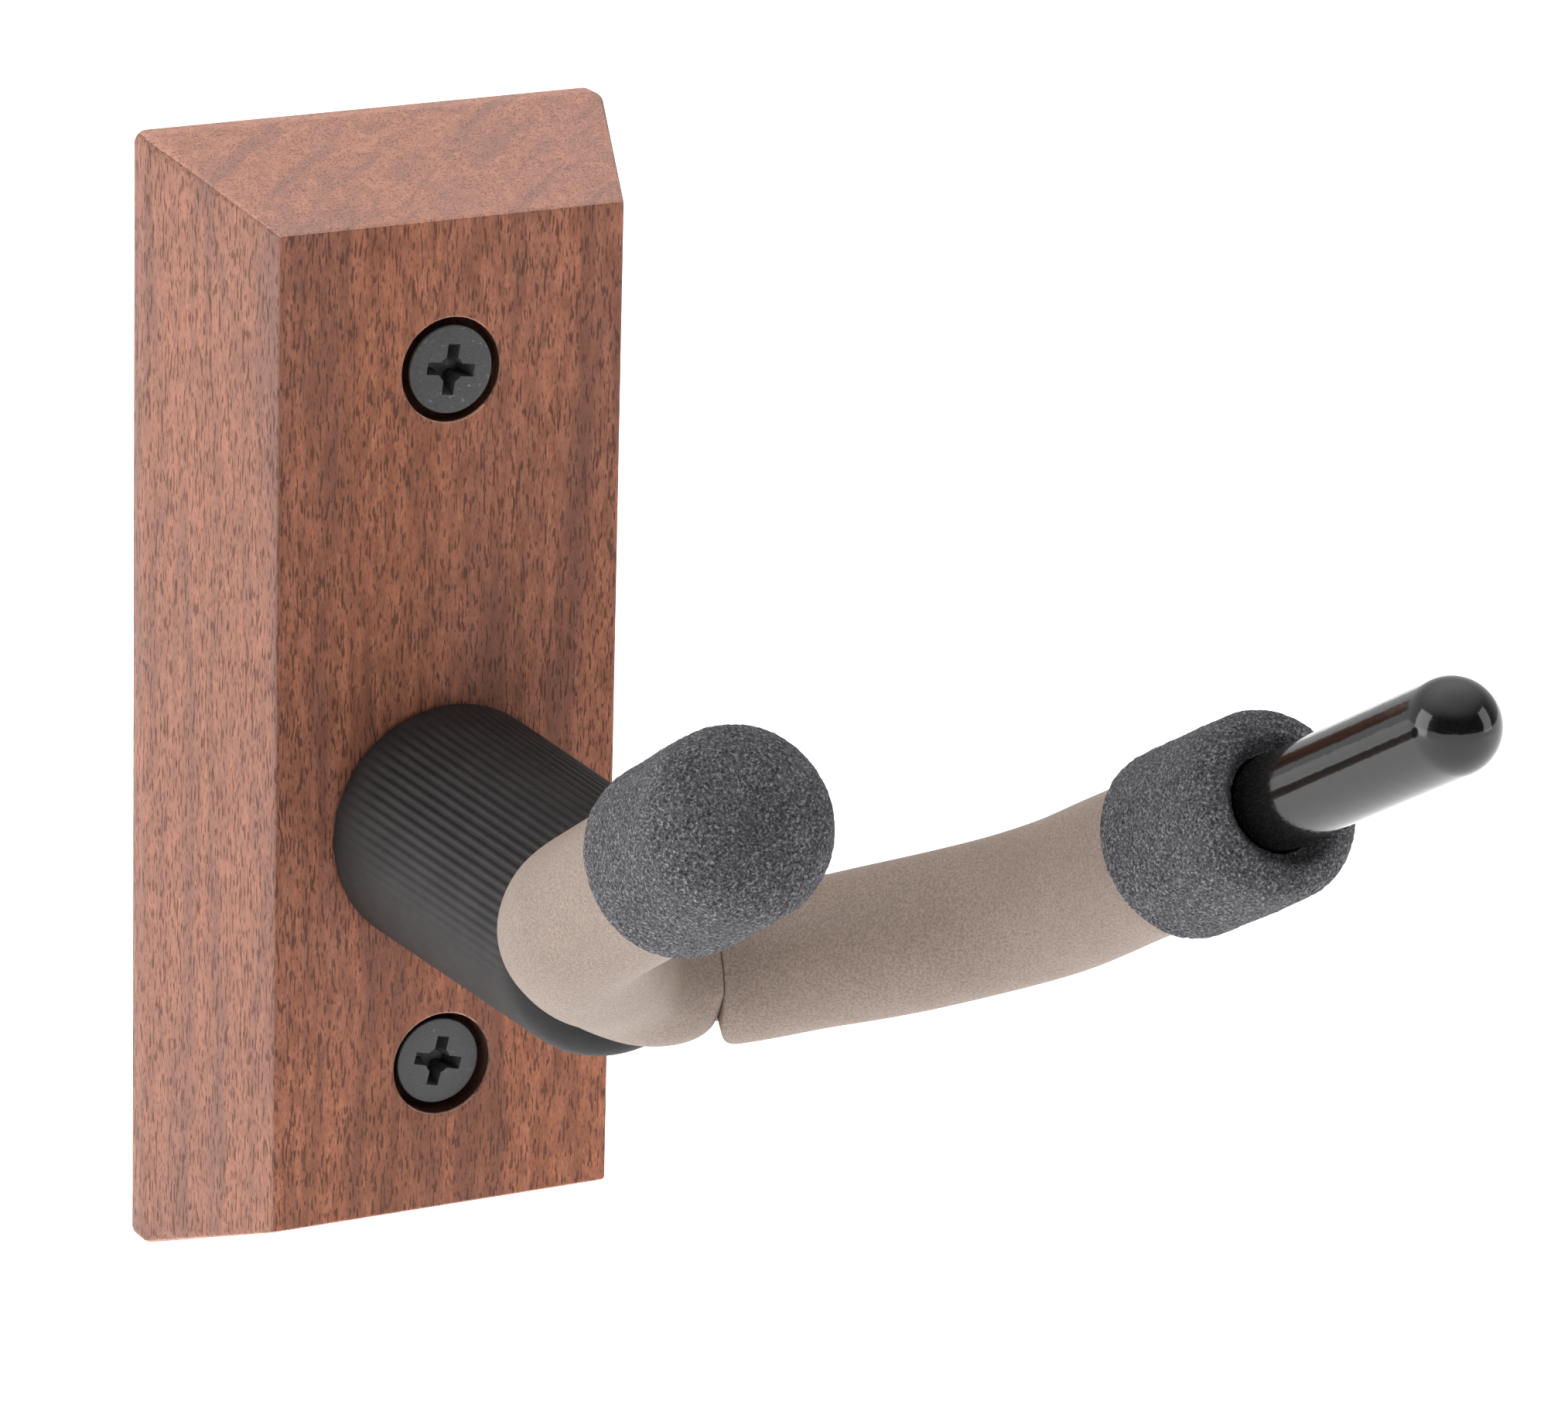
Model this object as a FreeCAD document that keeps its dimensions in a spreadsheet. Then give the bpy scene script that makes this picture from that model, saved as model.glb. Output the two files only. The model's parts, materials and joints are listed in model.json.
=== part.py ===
import FreeCAD, Part
import math
import os
import re

import Sketcher
from FreeCAD import Placement, Rotation, Vector

# A wall hanger for a stringed instrument.  A bevelled hardwood block is screwed to the wall.
# A steel stem turns in a bush in the block and carries a bent steel yoke, whose arms wear
# rubber sleeves and foam ends.  One arm ends in a foam cap and the other runs on as a peg.
#
# The origin is the centre of the block's back face, which lies on the wall plane y = 0.
# +Z is up, +X is to the right for someone facing the wall, and the yoke stands out towards -Y.
# "Forward" distances are measured from the wall plane along -Y.

SIZES = (
    # the hardwood block
    ("block_width", 47.2, "block, side to side"),
    ("block_height", 109.0, "block, top to bottom"),
    ("block_depth", 19.05, "block, wall to front face"),
    ("band_depth", 2.3, "straight band behind the bevels"),
    ("bevel_inset", 6.1, "how far each bevel leans in at the front face"),
    ("back_corner_radius", 1.2, "rounding of the block's outline at the wall"),
    ("front_corner_radius", 0.4, "rounding of the front face's corners"),
    # the mounting screws and their holes
    ("screw_margin", 20.5, "from the block's end to the screw's axis"),
    ("screw_hole_radius", 2.6, "clearance hole through the block"),
    ("counterbore_radius", 5.0, "pocket for the screw head"),
    ("upper_counterbore_depth", 2.3, "pocket of the upper screw"),
    ("lower_counterbore_depth", 3.1, "pocket of the lower screw"),
    ("screw_length", 50.0, "head to point"),
    ("screw_head_radius", 4.2, "flat head"),
    ("screw_land", 0.3, "straight rim of the head"),
    ("screw_cone_height", 2.8, "countersunk part of the head"),
    ("screw_shank_radius", 1.75, "plain shank"),
    ("screw_thread_radius", 2.1, "thread, outside"),
    ("screw_thread_length", 30.5, "threaded part, with the point"),
    ("screw_point_length", 5.0, "tapered point"),
    ("cross_span", 4.9, "cross recess, tip to tip"),
    ("cross_slot", 1.1, "cross recess, width of one slot"),
    ("cross_depth", 1.9, "cross recess, depth"),
    # the stem and what holds it in the block
    ("stem_drop", 10.0, "from the block's middle down to the stem's axis"),
    ("thread_radius", 4.0, "threaded rear end of the stem"),
    ("stem_radius", 5.0, "plain front part of the stem"),
    ("stem_inset", 0.8, "from the wall plane to the stem's rear end"),
    ("nut_inset", 1.2, "from the wall plane to the lock nut's rear face"),
    ("recess_clearance", 0.7, "between the pocket's wall and the washer"),
    ("nut_flats", 13.0, "lock nut, across the flats"),
    ("nut_hex_height", 5.4, "lock nut, hexagonal part"),
    ("nut_collar_height", 2.0, "lock nut, round collar around the insert"),
    ("nut_collar_step", 0.55, "lock nut, how far the collar is set in from the flats"),
    ("insert_wall", 1.0, "lock nut's plastic insert, thickness of the ring"),
    ("washer_overhang", 0.3, "washer's rim beyond the nut's corners"),
    ("washer_thickness", 1.6, "rear washer"),
    ("spring_thickness", 0.7, "conical spring washer, metal"),
    ("spring_height", 1.2, "conical spring washer, overall"),
    ("bush_radius", 5.5, "bush, outside of its barrel"),
    ("bush_flange_radius", 8.4, "bush, front flange"),
    ("bush_flange_thickness", 1.5, "bush, front flange"),
    ("thrust_washer_thickness", 1.0, "washer between the bush and the stem's shoulder"),
    ("running_clearance", 0.05, "between faces that turn on each other"),
    ("thread_clearance", 0.02, "between the stem's thread and what is screwed on it"),
    # the ribbed rubber cover of the stem
    ("bare_stem", 3.2, "stem that shows between the cover and the sleeves"),
    ("cover_rear_radius", 11.8, "cover at the block"),
    ("cover_front_radius", 11.6, "cover at its front rim"),
    ("cover_gap", 0.3, "between the cover and the block"),
    ("cover_dish", 1.6, "depth of the dished front face"),
    ("cover_rim_radius", 3.0, "rounding of the front rim"),
    ("cover_lip", 1.0, "flat ring between the front rim and the dish"),
    ("cover_pocket_clearance", 0.4, "around the bush flange inside the cover"),
    # the bent yoke rod
    ("yoke_reach", 47.9, "from the block's front face to the middle of the rod"),
    ("yoke_tilt", 30.7, "degrees, slope of the yoke's plane"),
    ("yoke_turn", 5.9, "degrees, how far the yoke is swivelled at rest, right arm down"),
    ("rod_radius", 3.97, "yoke rod"),
    ("middle_bend_radius", 11.9, "bend at the middle of the yoke"),
    ("middle_bend_angle", 56.4, "degrees, bend of each half at the middle"),
    ("shoulder_length", 17.5, "straight part between the bends"),
    ("arm_bend_radius", 24.1, "bend from shoulder to arm"),
    ("arm_splay", 3.2, "degrees, each arm leans outwards"),
    ("left_arm_length", 28.0, "straight end of the left arm, to the rod's end"),
    ("right_arm_length", 59.6, "straight end of the right arm, to the rod's end"),
    ("rod_end_radius", 3.2, "rounding of the rod's ends"),
    # sleeves, foam ends and the coating of the peg
    ("sleeve_wall", 2.85, "rubber sleeve, thickness"),
    ("sleeve_fit", 0.03, "between rod and sleeve"),
    ("left_sleeve_start", -1.3, "along the rod from the middle, which the left sleeve passes"),
    ("right_sleeve_start", 3.8, "along the rod from the middle"),
    ("sleeve_notch_clearance", 0.4, "around the stem, where the sleeves are notched"),
    ("foam_start", 15.9, "from the arm's bend to the foam's rear face"),
    ("foam_overlap", 3.0, "how far the foam slips over the sleeve"),
    ("foam_wall", 1.53, "foam over the sleeve, thickness"),
    ("cap_end", 4.9, "closed foam cap, thickness in front of the left arm's end"),
    ("collar_length", 15.8, "open foam collar of the right arm"),
    ("foam_rear_rounding", 0.8, "rear edge of the foam"),
    ("cap_front_rounding", 3.4, "front edge of the closed cap"),
    ("collar_front_rounding", 2.21, "front edge of the open collar"),
    ("mouth_floor", 0.9, "collar's mouth, gap around the peg at its floor"),
    ("mouth_flare", 0.6, "how much wider the mouth is at the collar's face"),
    ("mouth_depth", 1.5, "depth of the collar's mouth"),
    ("coating_thickness", 0.25, "dipped coating on the peg"),
    ("coating_tip", 0.9, "coating over the rod's end"),
)

# Lengths and places that follow from the sizes, as formulas of them and of each other.
# The places along the stem are forward distances from the wall plane.
DERIVED = {
    "screw_height": "(block_height / 2 - screw_margin)",
    "screw_seat": "(screw_land + running_clearance + screw_cone_height"
                  " * (screw_head_radius - screw_hole_radius) / (screw_head_radius - screw_shank_radius))",
    "nut_corner": "(nut_flats / 2 / cos(30 deg))",
    "washer_radius": "(nut_corner + washer_overhang)",
    "nut_hole": "(thread_radius + thread_clearance)",
    "bearing_bore": "(thread_radius + running_clearance)",
    "insert_front": "(nut_inset + nut_collar_height)",
    "nut_front": "(insert_front + nut_hex_height)",
    "rear_washer_back": "(nut_front + spring_height + 2 * running_clearance)",
    "recess_depth": "(rear_washer_back + washer_thickness)",
    "flange_front": "(block_depth + bush_flange_thickness)",
    "stem_shoulder": "(flange_front + running_clearance + thrust_washer_thickness)",
    "cover_rear": "(block_depth + cover_gap)",
    "yoke_middle": "(block_depth + yoke_reach)",
    "sleeve_outer": "(rod_radius + sleeve_fit + sleeve_wall)",
    "cover_front": "(yoke_middle - sleeve_outer - bare_stem)",
    "foam_outer": "(sleeve_outer + foam_wall)",
    "cap_length": "(left_arm_length - foam_start + cap_end)",
    "peg_outer": "(rod_radius + coating_thickness)",
    "mouth_outer": "(peg_outer + mouth_floor + mouth_flare)",
    # a rounding of the foam is never wider than the wall that it is on
    "foam_rear_edge": "min(foam_rear_rounding; foam_wall - running_clearance)",
    "collar_front_edge": "min(collar_front_rounding; foam_outer - mouth_outer - running_clearance)",
}

SHEET = "Sizes"
# a sketch's own origin point and axes, as its constraints name them
ORIGIN_POINT = (-1, 1)
X_AXIS = -1
Y_AXIS = -2
# the least volume in mm3 that a feature changes, and how near in mm an edge is to be called in place
VOLUME_STEP = 1e-3
IN_PLACE = 1e-3


# ---------------------------------------------------------------- document and sheet

def make_sheet(doc):
    sheet = doc.addObject("Spreadsheet::Sheet", SHEET)
    for row, (alias, number, meaning) in enumerate(SIZES, start=1):
        sheet.set(f"A{row}", meaning)
        sheet.set(f"B{row}", str(number))
        sheet.setAlias(f"B{row}", alias)
    doc.recompute()
    return sheet


def size(name):
    return float(getattr(FreeCAD.ActiveDocument.getObject(SHEET), name))


def in_sheet_words(formula):
    """Write a formula of named sizes and derived names as one that the sheet understands."""
    aliases = {alias for alias, _number, _meaning in SIZES}

    def swap(found):
        word = found.group(0)
        if word in DERIVED:
            return in_sheet_words(DERIVED[word])
        return f"{SHEET}.{word}" if word in aliases else word

    return re.sub(r"[a-z_]+[a-z0-9_]*", swap, formula)


def bind(thing, prop, formula):
    """Bind a property to a formula of named sizes."""
    thing.setExpression(prop, in_sheet_words(formula))


def worth(formula):
    """The number that a formula of named sizes gives."""
    sheet = FreeCAD.ActiveDocument.getObject(SHEET)
    return float(sheet.evalExpression(in_sheet_words(formula)))


# ---------------------------------------------------------------- sketches

def origin_plane(body, role):
    return next(item for item in body.Origin.OriginFeatures if item.Role == role)


def new_sketch(body, name, plane="XY_Plane", offset=None):
    sketch = body.newObject("Sketcher::SketchObject", name)
    sketch.AttachmentSupport = (origin_plane(body, plane), [""])
    sketch.MapMode = "FlatFace"
    if offset is not None:
        bind(sketch, "AttachmentOffset.Base.z", offset)
    return sketch


def name_and_bind(sketch, index, name, formula):
    sketch.renameConstraint(index, name)
    bind(sketch, f"Constraints.{name}", formula)


def place_vertex(sketch, edge, label, across, along):
    """Fix the start of an edge at two formulas, measured from the sketch's origin."""
    for letter, axis, formula in (("X", Y_AXIS, across), ("Y", X_AXIS, along)):
        if formula == "0":
            sketch.addConstraint(Sketcher.Constraint("PointOnObject", edge, 1, axis))
            continue
        rule = Sketcher.Constraint("Distance" + letter, *ORIGIN_POINT, edge, 1, worth(formula))
        name_and_bind(sketch, sketch.addConstraint(rule), f"{label}{letter}", formula)


def draw_polygon(sketch, corners):
    """A closed polygon whose corners are pairs of formulas."""
    points = [Vector(worth(across), worth(along), 0) for across, along in corners]
    count = len(points)
    for number, point in enumerate(points):
        sketch.addGeometry(Part.LineSegment(point, points[(number + 1) % count]))
    for number in range(count):
        following = (number + 1) % count
        sketch.addConstraint(Sketcher.Constraint("Coincident", number, 2, following, 1))
    for number, (across, along) in enumerate(corners):
        place_vertex(sketch, number, f"corner{number}", across, along)


def draw_circle(sketch, radius, along="0", label="circle"):
    """A circle on the sketch's Y axis."""
    edge = sketch.addGeometry(Part.Circle(Vector(0, worth(along), 0), Vector(0, 0, 1), worth(radius)))
    rule = Sketcher.Constraint("Radius", edge, worth(radius))
    name_and_bind(sketch, sketch.addConstraint(rule), f"{label}Radius", radius)
    sketch.addConstraint(Sketcher.Constraint("PointOnObject", edge, 3, Y_AXIS))
    if along == "0":
        sketch.addConstraint(Sketcher.Constraint("PointOnObject", edge, 3, X_AXIS))
        return
    rule = Sketcher.Constraint("DistanceY", *ORIGIN_POINT, edge, 3, worth(along))
    name_and_bind(sketch, sketch.addConstraint(rule), f"{label}Place", along)


def draw_rounded_rectangle(sketch, half_width, half_height, radius):
    """A rectangle around the origin with rounded corners."""
    wide, high, bend = worth(half_width), worth(half_height), worth(radius)
    arcs = []
    for quarter, (right, up) in enumerate(((1, 1), (-1, 1), (-1, -1), (1, -1))):
        centre = Vector(right * (wide - bend), up * (high - bend), 0)
        start = quarter * math.pi / 2
        circle = Part.Circle(centre, Vector(0, 0, 1), bend)
        arcs.append(sketch.addGeometry(Part.ArcOfCircle(circle, start, start + math.pi / 2)))
    for quarter, arc in enumerate(arcs):
        following = arcs[(quarter + 1) % 4]
        ends = [sketch.getPoint(arc, 2), sketch.getPoint(following, 1)]
        line = sketch.addGeometry(Part.LineSegment(*ends))
        sketch.addConstraint(Sketcher.Constraint("Tangent", arc, 2, line, 1))
        sketch.addConstraint(Sketcher.Constraint("Tangent", line, 2, following, 1))
        sketch.addConstraint(Sketcher.Constraint("Horizontal" if quarter % 2 == 0 else "Vertical", line))
        if quarter:
            sketch.addConstraint(Sketcher.Constraint("Equal", arcs[0], arc))
    rule = Sketcher.Constraint("Radius", arcs[0], bend)
    name_and_bind(sketch, sketch.addConstraint(rule), "cornerRadius", radius)
    for letter, formula, value in (("X", half_width, wide), ("Y", half_height, high)):
        rule = Sketcher.Constraint("Distance" + letter, *ORIGIN_POINT, arcs[0], 3, value - bend)
        name_and_bind(sketch, sketch.addConstraint(rule), f"centre{letter}", f"{formula} - {radius}")
    sketch.addConstraint(Sketcher.Constraint("Symmetric", arcs[0], 3, arcs[2], 3, *ORIGIN_POINT))


# ---------------------------------------------------------------- features

def new_body(doc, name):
    body = doc.addObject("PartDesign::Body", name)
    body.Label = name
    return body


def check_change(body, before, grows):
    """Make sure that a feature really added or removed material."""
    FreeCAD.ActiveDocument.recompute()
    change = body.Shape.Volume - before
    if (change if grows else -change) < VOLUME_STEP:
        raise RuntimeError(f"{body.Label}: {body.Tip.Name} changed nothing")


def pad(body, sketch, length):
    feature = body.newObject("PartDesign::Pad", sketch.Name + "_pad")
    feature.Profile = sketch
    bind(feature, "Length", length)
    FreeCAD.ActiveDocument.recompute()
    return feature


def pocket(body, sketch, depth=None, reverse=False):
    before = body.Shape.Volume
    feature = body.newObject("PartDesign::Pocket", sketch.Name + "_pocket")
    feature.Profile = sketch
    feature.Reversed = reverse
    if depth is None:
        feature.Type = "ThroughAll"
    else:
        bind(feature, "Length", depth)
    check_change(body, before, grows=False)
    return feature


def turned(doc, name, outline):
    """A body of revolution about its own Y axis.  The outline is pairs of (radius, along)."""
    body = new_body(doc, name)
    sketch = new_sketch(body, name + "_outline")
    draw_polygon(sketch, outline)
    feature = body.newObject("PartDesign::Revolution", name + "_turn")
    feature.Profile = sketch
    feature.ReferenceAxis = (sketch, ["V_Axis"])
    feature.Angle = 360
    doc.recompute()
    return body


def round_rim(body, radius_at, along, rounding, grows=False):
    """Round the circular edge of a turned body that lies at a radius and a distance along it."""
    radius, place = worth(radius_at), worth(along)
    names = []
    for number, edge in enumerate(body.Tip.Shape.Edges, start=1):
        curve = edge.Curve
        if not isinstance(curve, Part.Circle):
            continue
        level = (body.Placement.inverse() * curve.Center).y
        if abs(curve.Radius - radius) < IN_PLACE and abs(level - place) < IN_PLACE:
            names.append(f"Edge{number}")
    feature = body.newObject("PartDesign::Fillet", f"{body.Name}_rounding")
    feature.Base = (feature.BaseFeature, names)
    bind(feature, "Radius", rounding)
    check_change(body, feature.BaseFeature.Shape.Volume, grows)


def cylinder(doc, name, radius, height, along="0", placement=None):
    """A plain cylinder about its own Y axis, from a distance along that axis."""
    tool = doc.addObject("Part::Cylinder", name)
    bind(tool, "Radius", radius)
    bind(tool, "Height", height)
    tool.Placement = (placement or Placement()) * Placement(
        Vector(0, worth(along), 0), Rotation(Vector(1, 0, 0), -90))
    return tool


def cut(doc, name, base, tool):
    result = doc.addObject("Part::Cut", name + "_piece")
    result.Base = base
    result.Tool = tool
    result.Label = name
    doc.recompute()
    return result


# ---------------------------------------------------------------- places

def stem_place():
    """The stem's axis: local Y runs forward from the wall plane."""
    return Placement(Vector(0, 0, -size("stem_drop")), Rotation(Vector(0, 0, 1), 180))


def yoke_place():
    """The middle of the yoke: local X runs along the rod, local -Y forward in the yoke's plane."""
    middle = Vector(0, -worth("yoke_middle"), -size("stem_drop"))
    turn = Rotation(Vector(0, 1, 0), size("yoke_turn"))
    tilt = Rotation(Vector(1, 0, 0), -size("yoke_tilt"))
    return Placement(middle, turn * tilt)


def along_middle_bend(distance):
    """Place and heading on the middle bend, at a distance from the yoke's middle."""
    bend = size("middle_bend_radius")
    angle = distance / bend
    point = Vector(bend * math.sin(angle), -bend * (1 - math.cos(angle)), 0)
    return Placement(point, Rotation(Vector(0, 0, 1), -math.degrees(angle)))


def arm_start():
    """Where the right arm's straight end begins, in the yoke's plane."""
    first, second = size("middle_bend_radius"), size("arm_bend_radius")
    turn = math.radians(size("middle_bend_angle"))
    splay = math.radians(size("arm_splay"))
    point = Vector(first * math.sin(turn), -first * (1 - math.cos(turn)), 0)
    point += Vector(math.cos(turn), -math.sin(turn), 0) * size("shoulder_length")
    centre = point - Vector(math.sin(turn), math.cos(turn), 0) * second
    return centre + Vector(math.cos(splay), math.sin(splay), 0) * second


def arm_place(side, distance="0"):
    """An arm's straight end: local Y runs outwards along it.  side is 1 right, -1 left."""
    start = arm_start()
    heading = Rotation(Vector(0, 0, 1), 180 + side * size("arm_splay"))
    spot = Placement(Vector(side * start.x, start.y, 0), heading)
    return yoke_place() * spot * Placement(Vector(0, worth(distance), 0), Rotation())


# ---------------------------------------------------------------- block and screws

def make_block(doc):
    body = new_body(doc, "wood_block")
    band = new_sketch(body, "band_outline", "XZ_Plane")
    draw_rounded_rectangle(band, "block_width / 2", "block_height / 2", "back_corner_radius")
    pad(body, band, "band_depth")
    shoulder = new_sketch(body, "bevel_outline", "XZ_Plane", "band_depth")
    draw_rounded_rectangle(shoulder, "block_width / 2", "block_height / 2", "back_corner_radius")
    face = new_sketch(body, "face_outline", "XZ_Plane", "block_depth")
    draw_rounded_rectangle(face, "block_width / 2 - bevel_inset",
                           "block_height / 2 - bevel_inset", "front_corner_radius")
    doc.recompute()
    before = body.Shape.Volume
    bevel = body.newObject("PartDesign::AdditiveLoft", "bevels")
    bevel.Profile = shoulder
    bevel.Sections = [face]
    bevel.Ruled = True
    check_change(body, before, grows=True)

    holes = new_sketch(body, "screw_holes", "XZ_Plane")
    draw_circle(holes, "screw_hole_radius", "screw_height", "upper")
    draw_circle(holes, "screw_hole_radius", "-screw_height", "lower")
    pocket(body, holes, reverse=True)
    for name, place in (("upper", "screw_height"), ("lower", "-screw_height")):
        seat = new_sketch(body, name + "_seat", "XZ_Plane", "block_depth")
        draw_circle(seat, "counterbore_radius", place)
        pocket(body, seat, name + "_counterbore_depth")

    bore = new_sketch(body, "stem_bore", "XZ_Plane")
    draw_circle(bore, "bush_radius", "-stem_drop")
    pocket(body, bore, reverse=True)
    recess = new_sketch(body, "nut_recess", "XZ_Plane")
    draw_circle(recess, "washer_radius + recess_clearance", "-stem_drop")
    pocket(body, recess, "recess_depth", reverse=True)
    return body


def make_screw(doc, name, height, depth):
    """A countersunk wood screw.  Its own Y axis runs from the point to the head.

    The thread is a plain cylinder of its outer size, and starts just behind the block.
    """
    shank_end = "screw_length - screw_land - screw_cone_height"
    body = turned(doc, name, (
        ("0", "0"),
        ("screw_thread_radius", "screw_point_length"),
        ("screw_thread_radius", "screw_thread_length"),
        ("screw_shank_radius", "screw_thread_length"),
        ("screw_shank_radius", shank_end),
        ("screw_head_radius", "screw_length - screw_land"),
        ("screw_head_radius", "screw_length"),
        ("0", "screw_length"),
    ))
    for slot, (wide, high) in enumerate((("cross_span", "cross_slot"), ("cross_slot", "cross_span"))):
        recess = new_sketch(body, f"{name}_slot{slot}", "XZ_Plane", "-screw_length")
        draw_polygon(recess, (
            (f"-{wide} / 2", f"-{high} / 2"),
            (f"{wide} / 2", f"-{high} / 2"),
            (f"{wide} / 2", f"{high} / 2"),
            (f"-{wide} / 2", f"{high} / 2"),
        ))
        pocket(body, recess, "cross_depth", reverse=True)
    forward = worth(f"block_depth - {depth} + screw_seat - screw_length")
    body.Placement = Placement(Vector(0, -forward, worth(height)), Rotation(Vector(0, 0, 1), 180))
    return body


# ---------------------------------------------------------------- stem and its bearing

def ring(doc, name, inner, outer, rear, front):
    return turned(doc, name, ((inner, rear), (outer, rear), (outer, front), (inner, front)))


def make_bearing(doc):
    """The bush pressed into the block, and the washer on the floor of the nut's recess."""
    bush = turned(doc, "stem_bush", (
        ("bearing_bore", "recess_depth"),
        ("bush_radius", "recess_depth"),
        ("bush_radius", "block_depth"),
        ("bush_flange_radius", "block_depth"),
        ("bush_flange_radius", "flange_front"),
        ("bearing_bore", "flange_front"),
    ))
    washer = ring(doc, "rear_washer", "bearing_bore", "washer_radius", "rear_washer_back", "recess_depth")
    return [bush, washer]


def make_stem_hardware(doc):
    """The pieces that turn with the stem: spring washer, lock nut with its insert, thrust washer."""
    spring = turned(doc, "spring_washer", (
        ("nut_hole", "nut_front"),
        ("washer_radius", "nut_front + spring_height - spring_thickness"),
        ("washer_radius", "nut_front + spring_height"),
        ("nut_hole", "nut_front + spring_thickness"),
    ))
    thrust = ring(doc, "thrust_washer", "nut_hole", "bush_flange_radius",
                  "flange_front + running_clearance", "stem_shoulder")
    return [spring, thrust]


def make_lock_nut(doc):
    """A lock nut: a hexagon with a round collar behind it, which holds a plastic insert."""
    body = new_body(doc, "lock_nut")
    hexagon = new_sketch(body, "nut_hexagon", "XZ_Plane", "-nut_front")
    corners = []
    for angle in range(0, 360, 60):
        along = f"nut_corner * sin({angle} deg)" if angle % 180 else "0"
        corners.append((f"nut_corner * cos({angle} deg)", along))
    draw_polygon(hexagon, corners)
    pad(body, hexagon, "nut_hex_height")
    collar = new_sketch(body, "nut_collar", "XZ_Plane", "-insert_front")
    draw_circle(collar, "nut_flats / 2 - nut_collar_step")
    pad(body, collar, "nut_collar_height")
    hole = new_sketch(body, "nut_hole", "XZ_Plane", "-nut_front")
    draw_circle(hole, "nut_hole")
    pocket(body, hole, reverse=True)
    seat = new_sketch(body, "insert_seat", "XZ_Plane", "-insert_front")
    draw_circle(seat, "nut_hole + insert_wall")
    pocket(body, seat, "nut_collar_height", reverse=True)
    return body


def make_insert(doc):
    return ring(doc, "lock_nut_insert", "nut_hole", "nut_hole + insert_wall", "nut_inset", "insert_front")


def make_stem(doc, rod):
    """The steel stem.  Its front end is shaped to the rod, where the two are welded."""
    body = turned(doc, "stem_bar", (
        ("0", "stem_inset"),
        ("thread_radius", "stem_inset"),
        ("thread_radius", "stem_shoulder"),
        ("stem_radius", "stem_shoulder"),
        ("stem_radius", "yoke_middle"),
        ("0", "yoke_middle"),
    ))
    body.Placement = stem_place()
    return cut(doc, "stem_shaft", body, rod)


def make_cover(doc):
    """The rubber cover of the stem, hollowed at the rear around the bush flange."""
    pocket_radius = "bush_flange_radius + cover_pocket_clearance"
    body = turned(doc, "stem_cover", (
        (pocket_radius, "cover_rear"),
        ("cover_rear_radius", "cover_rear"),
        ("cover_front_radius", "cover_front"),
        ("cover_front_radius - cover_rim_radius - cover_lip", "cover_front"),
        ("stem_radius", "cover_front - cover_dish"),
        ("stem_radius", "stem_shoulder"),
        (pocket_radius, "stem_shoulder"),
    ))
    round_rim(body, "cover_front_radius", "cover_front", "cover_rim_radius")
    return body


# ---------------------------------------------------------------- yoke rod and sleeves

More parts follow.
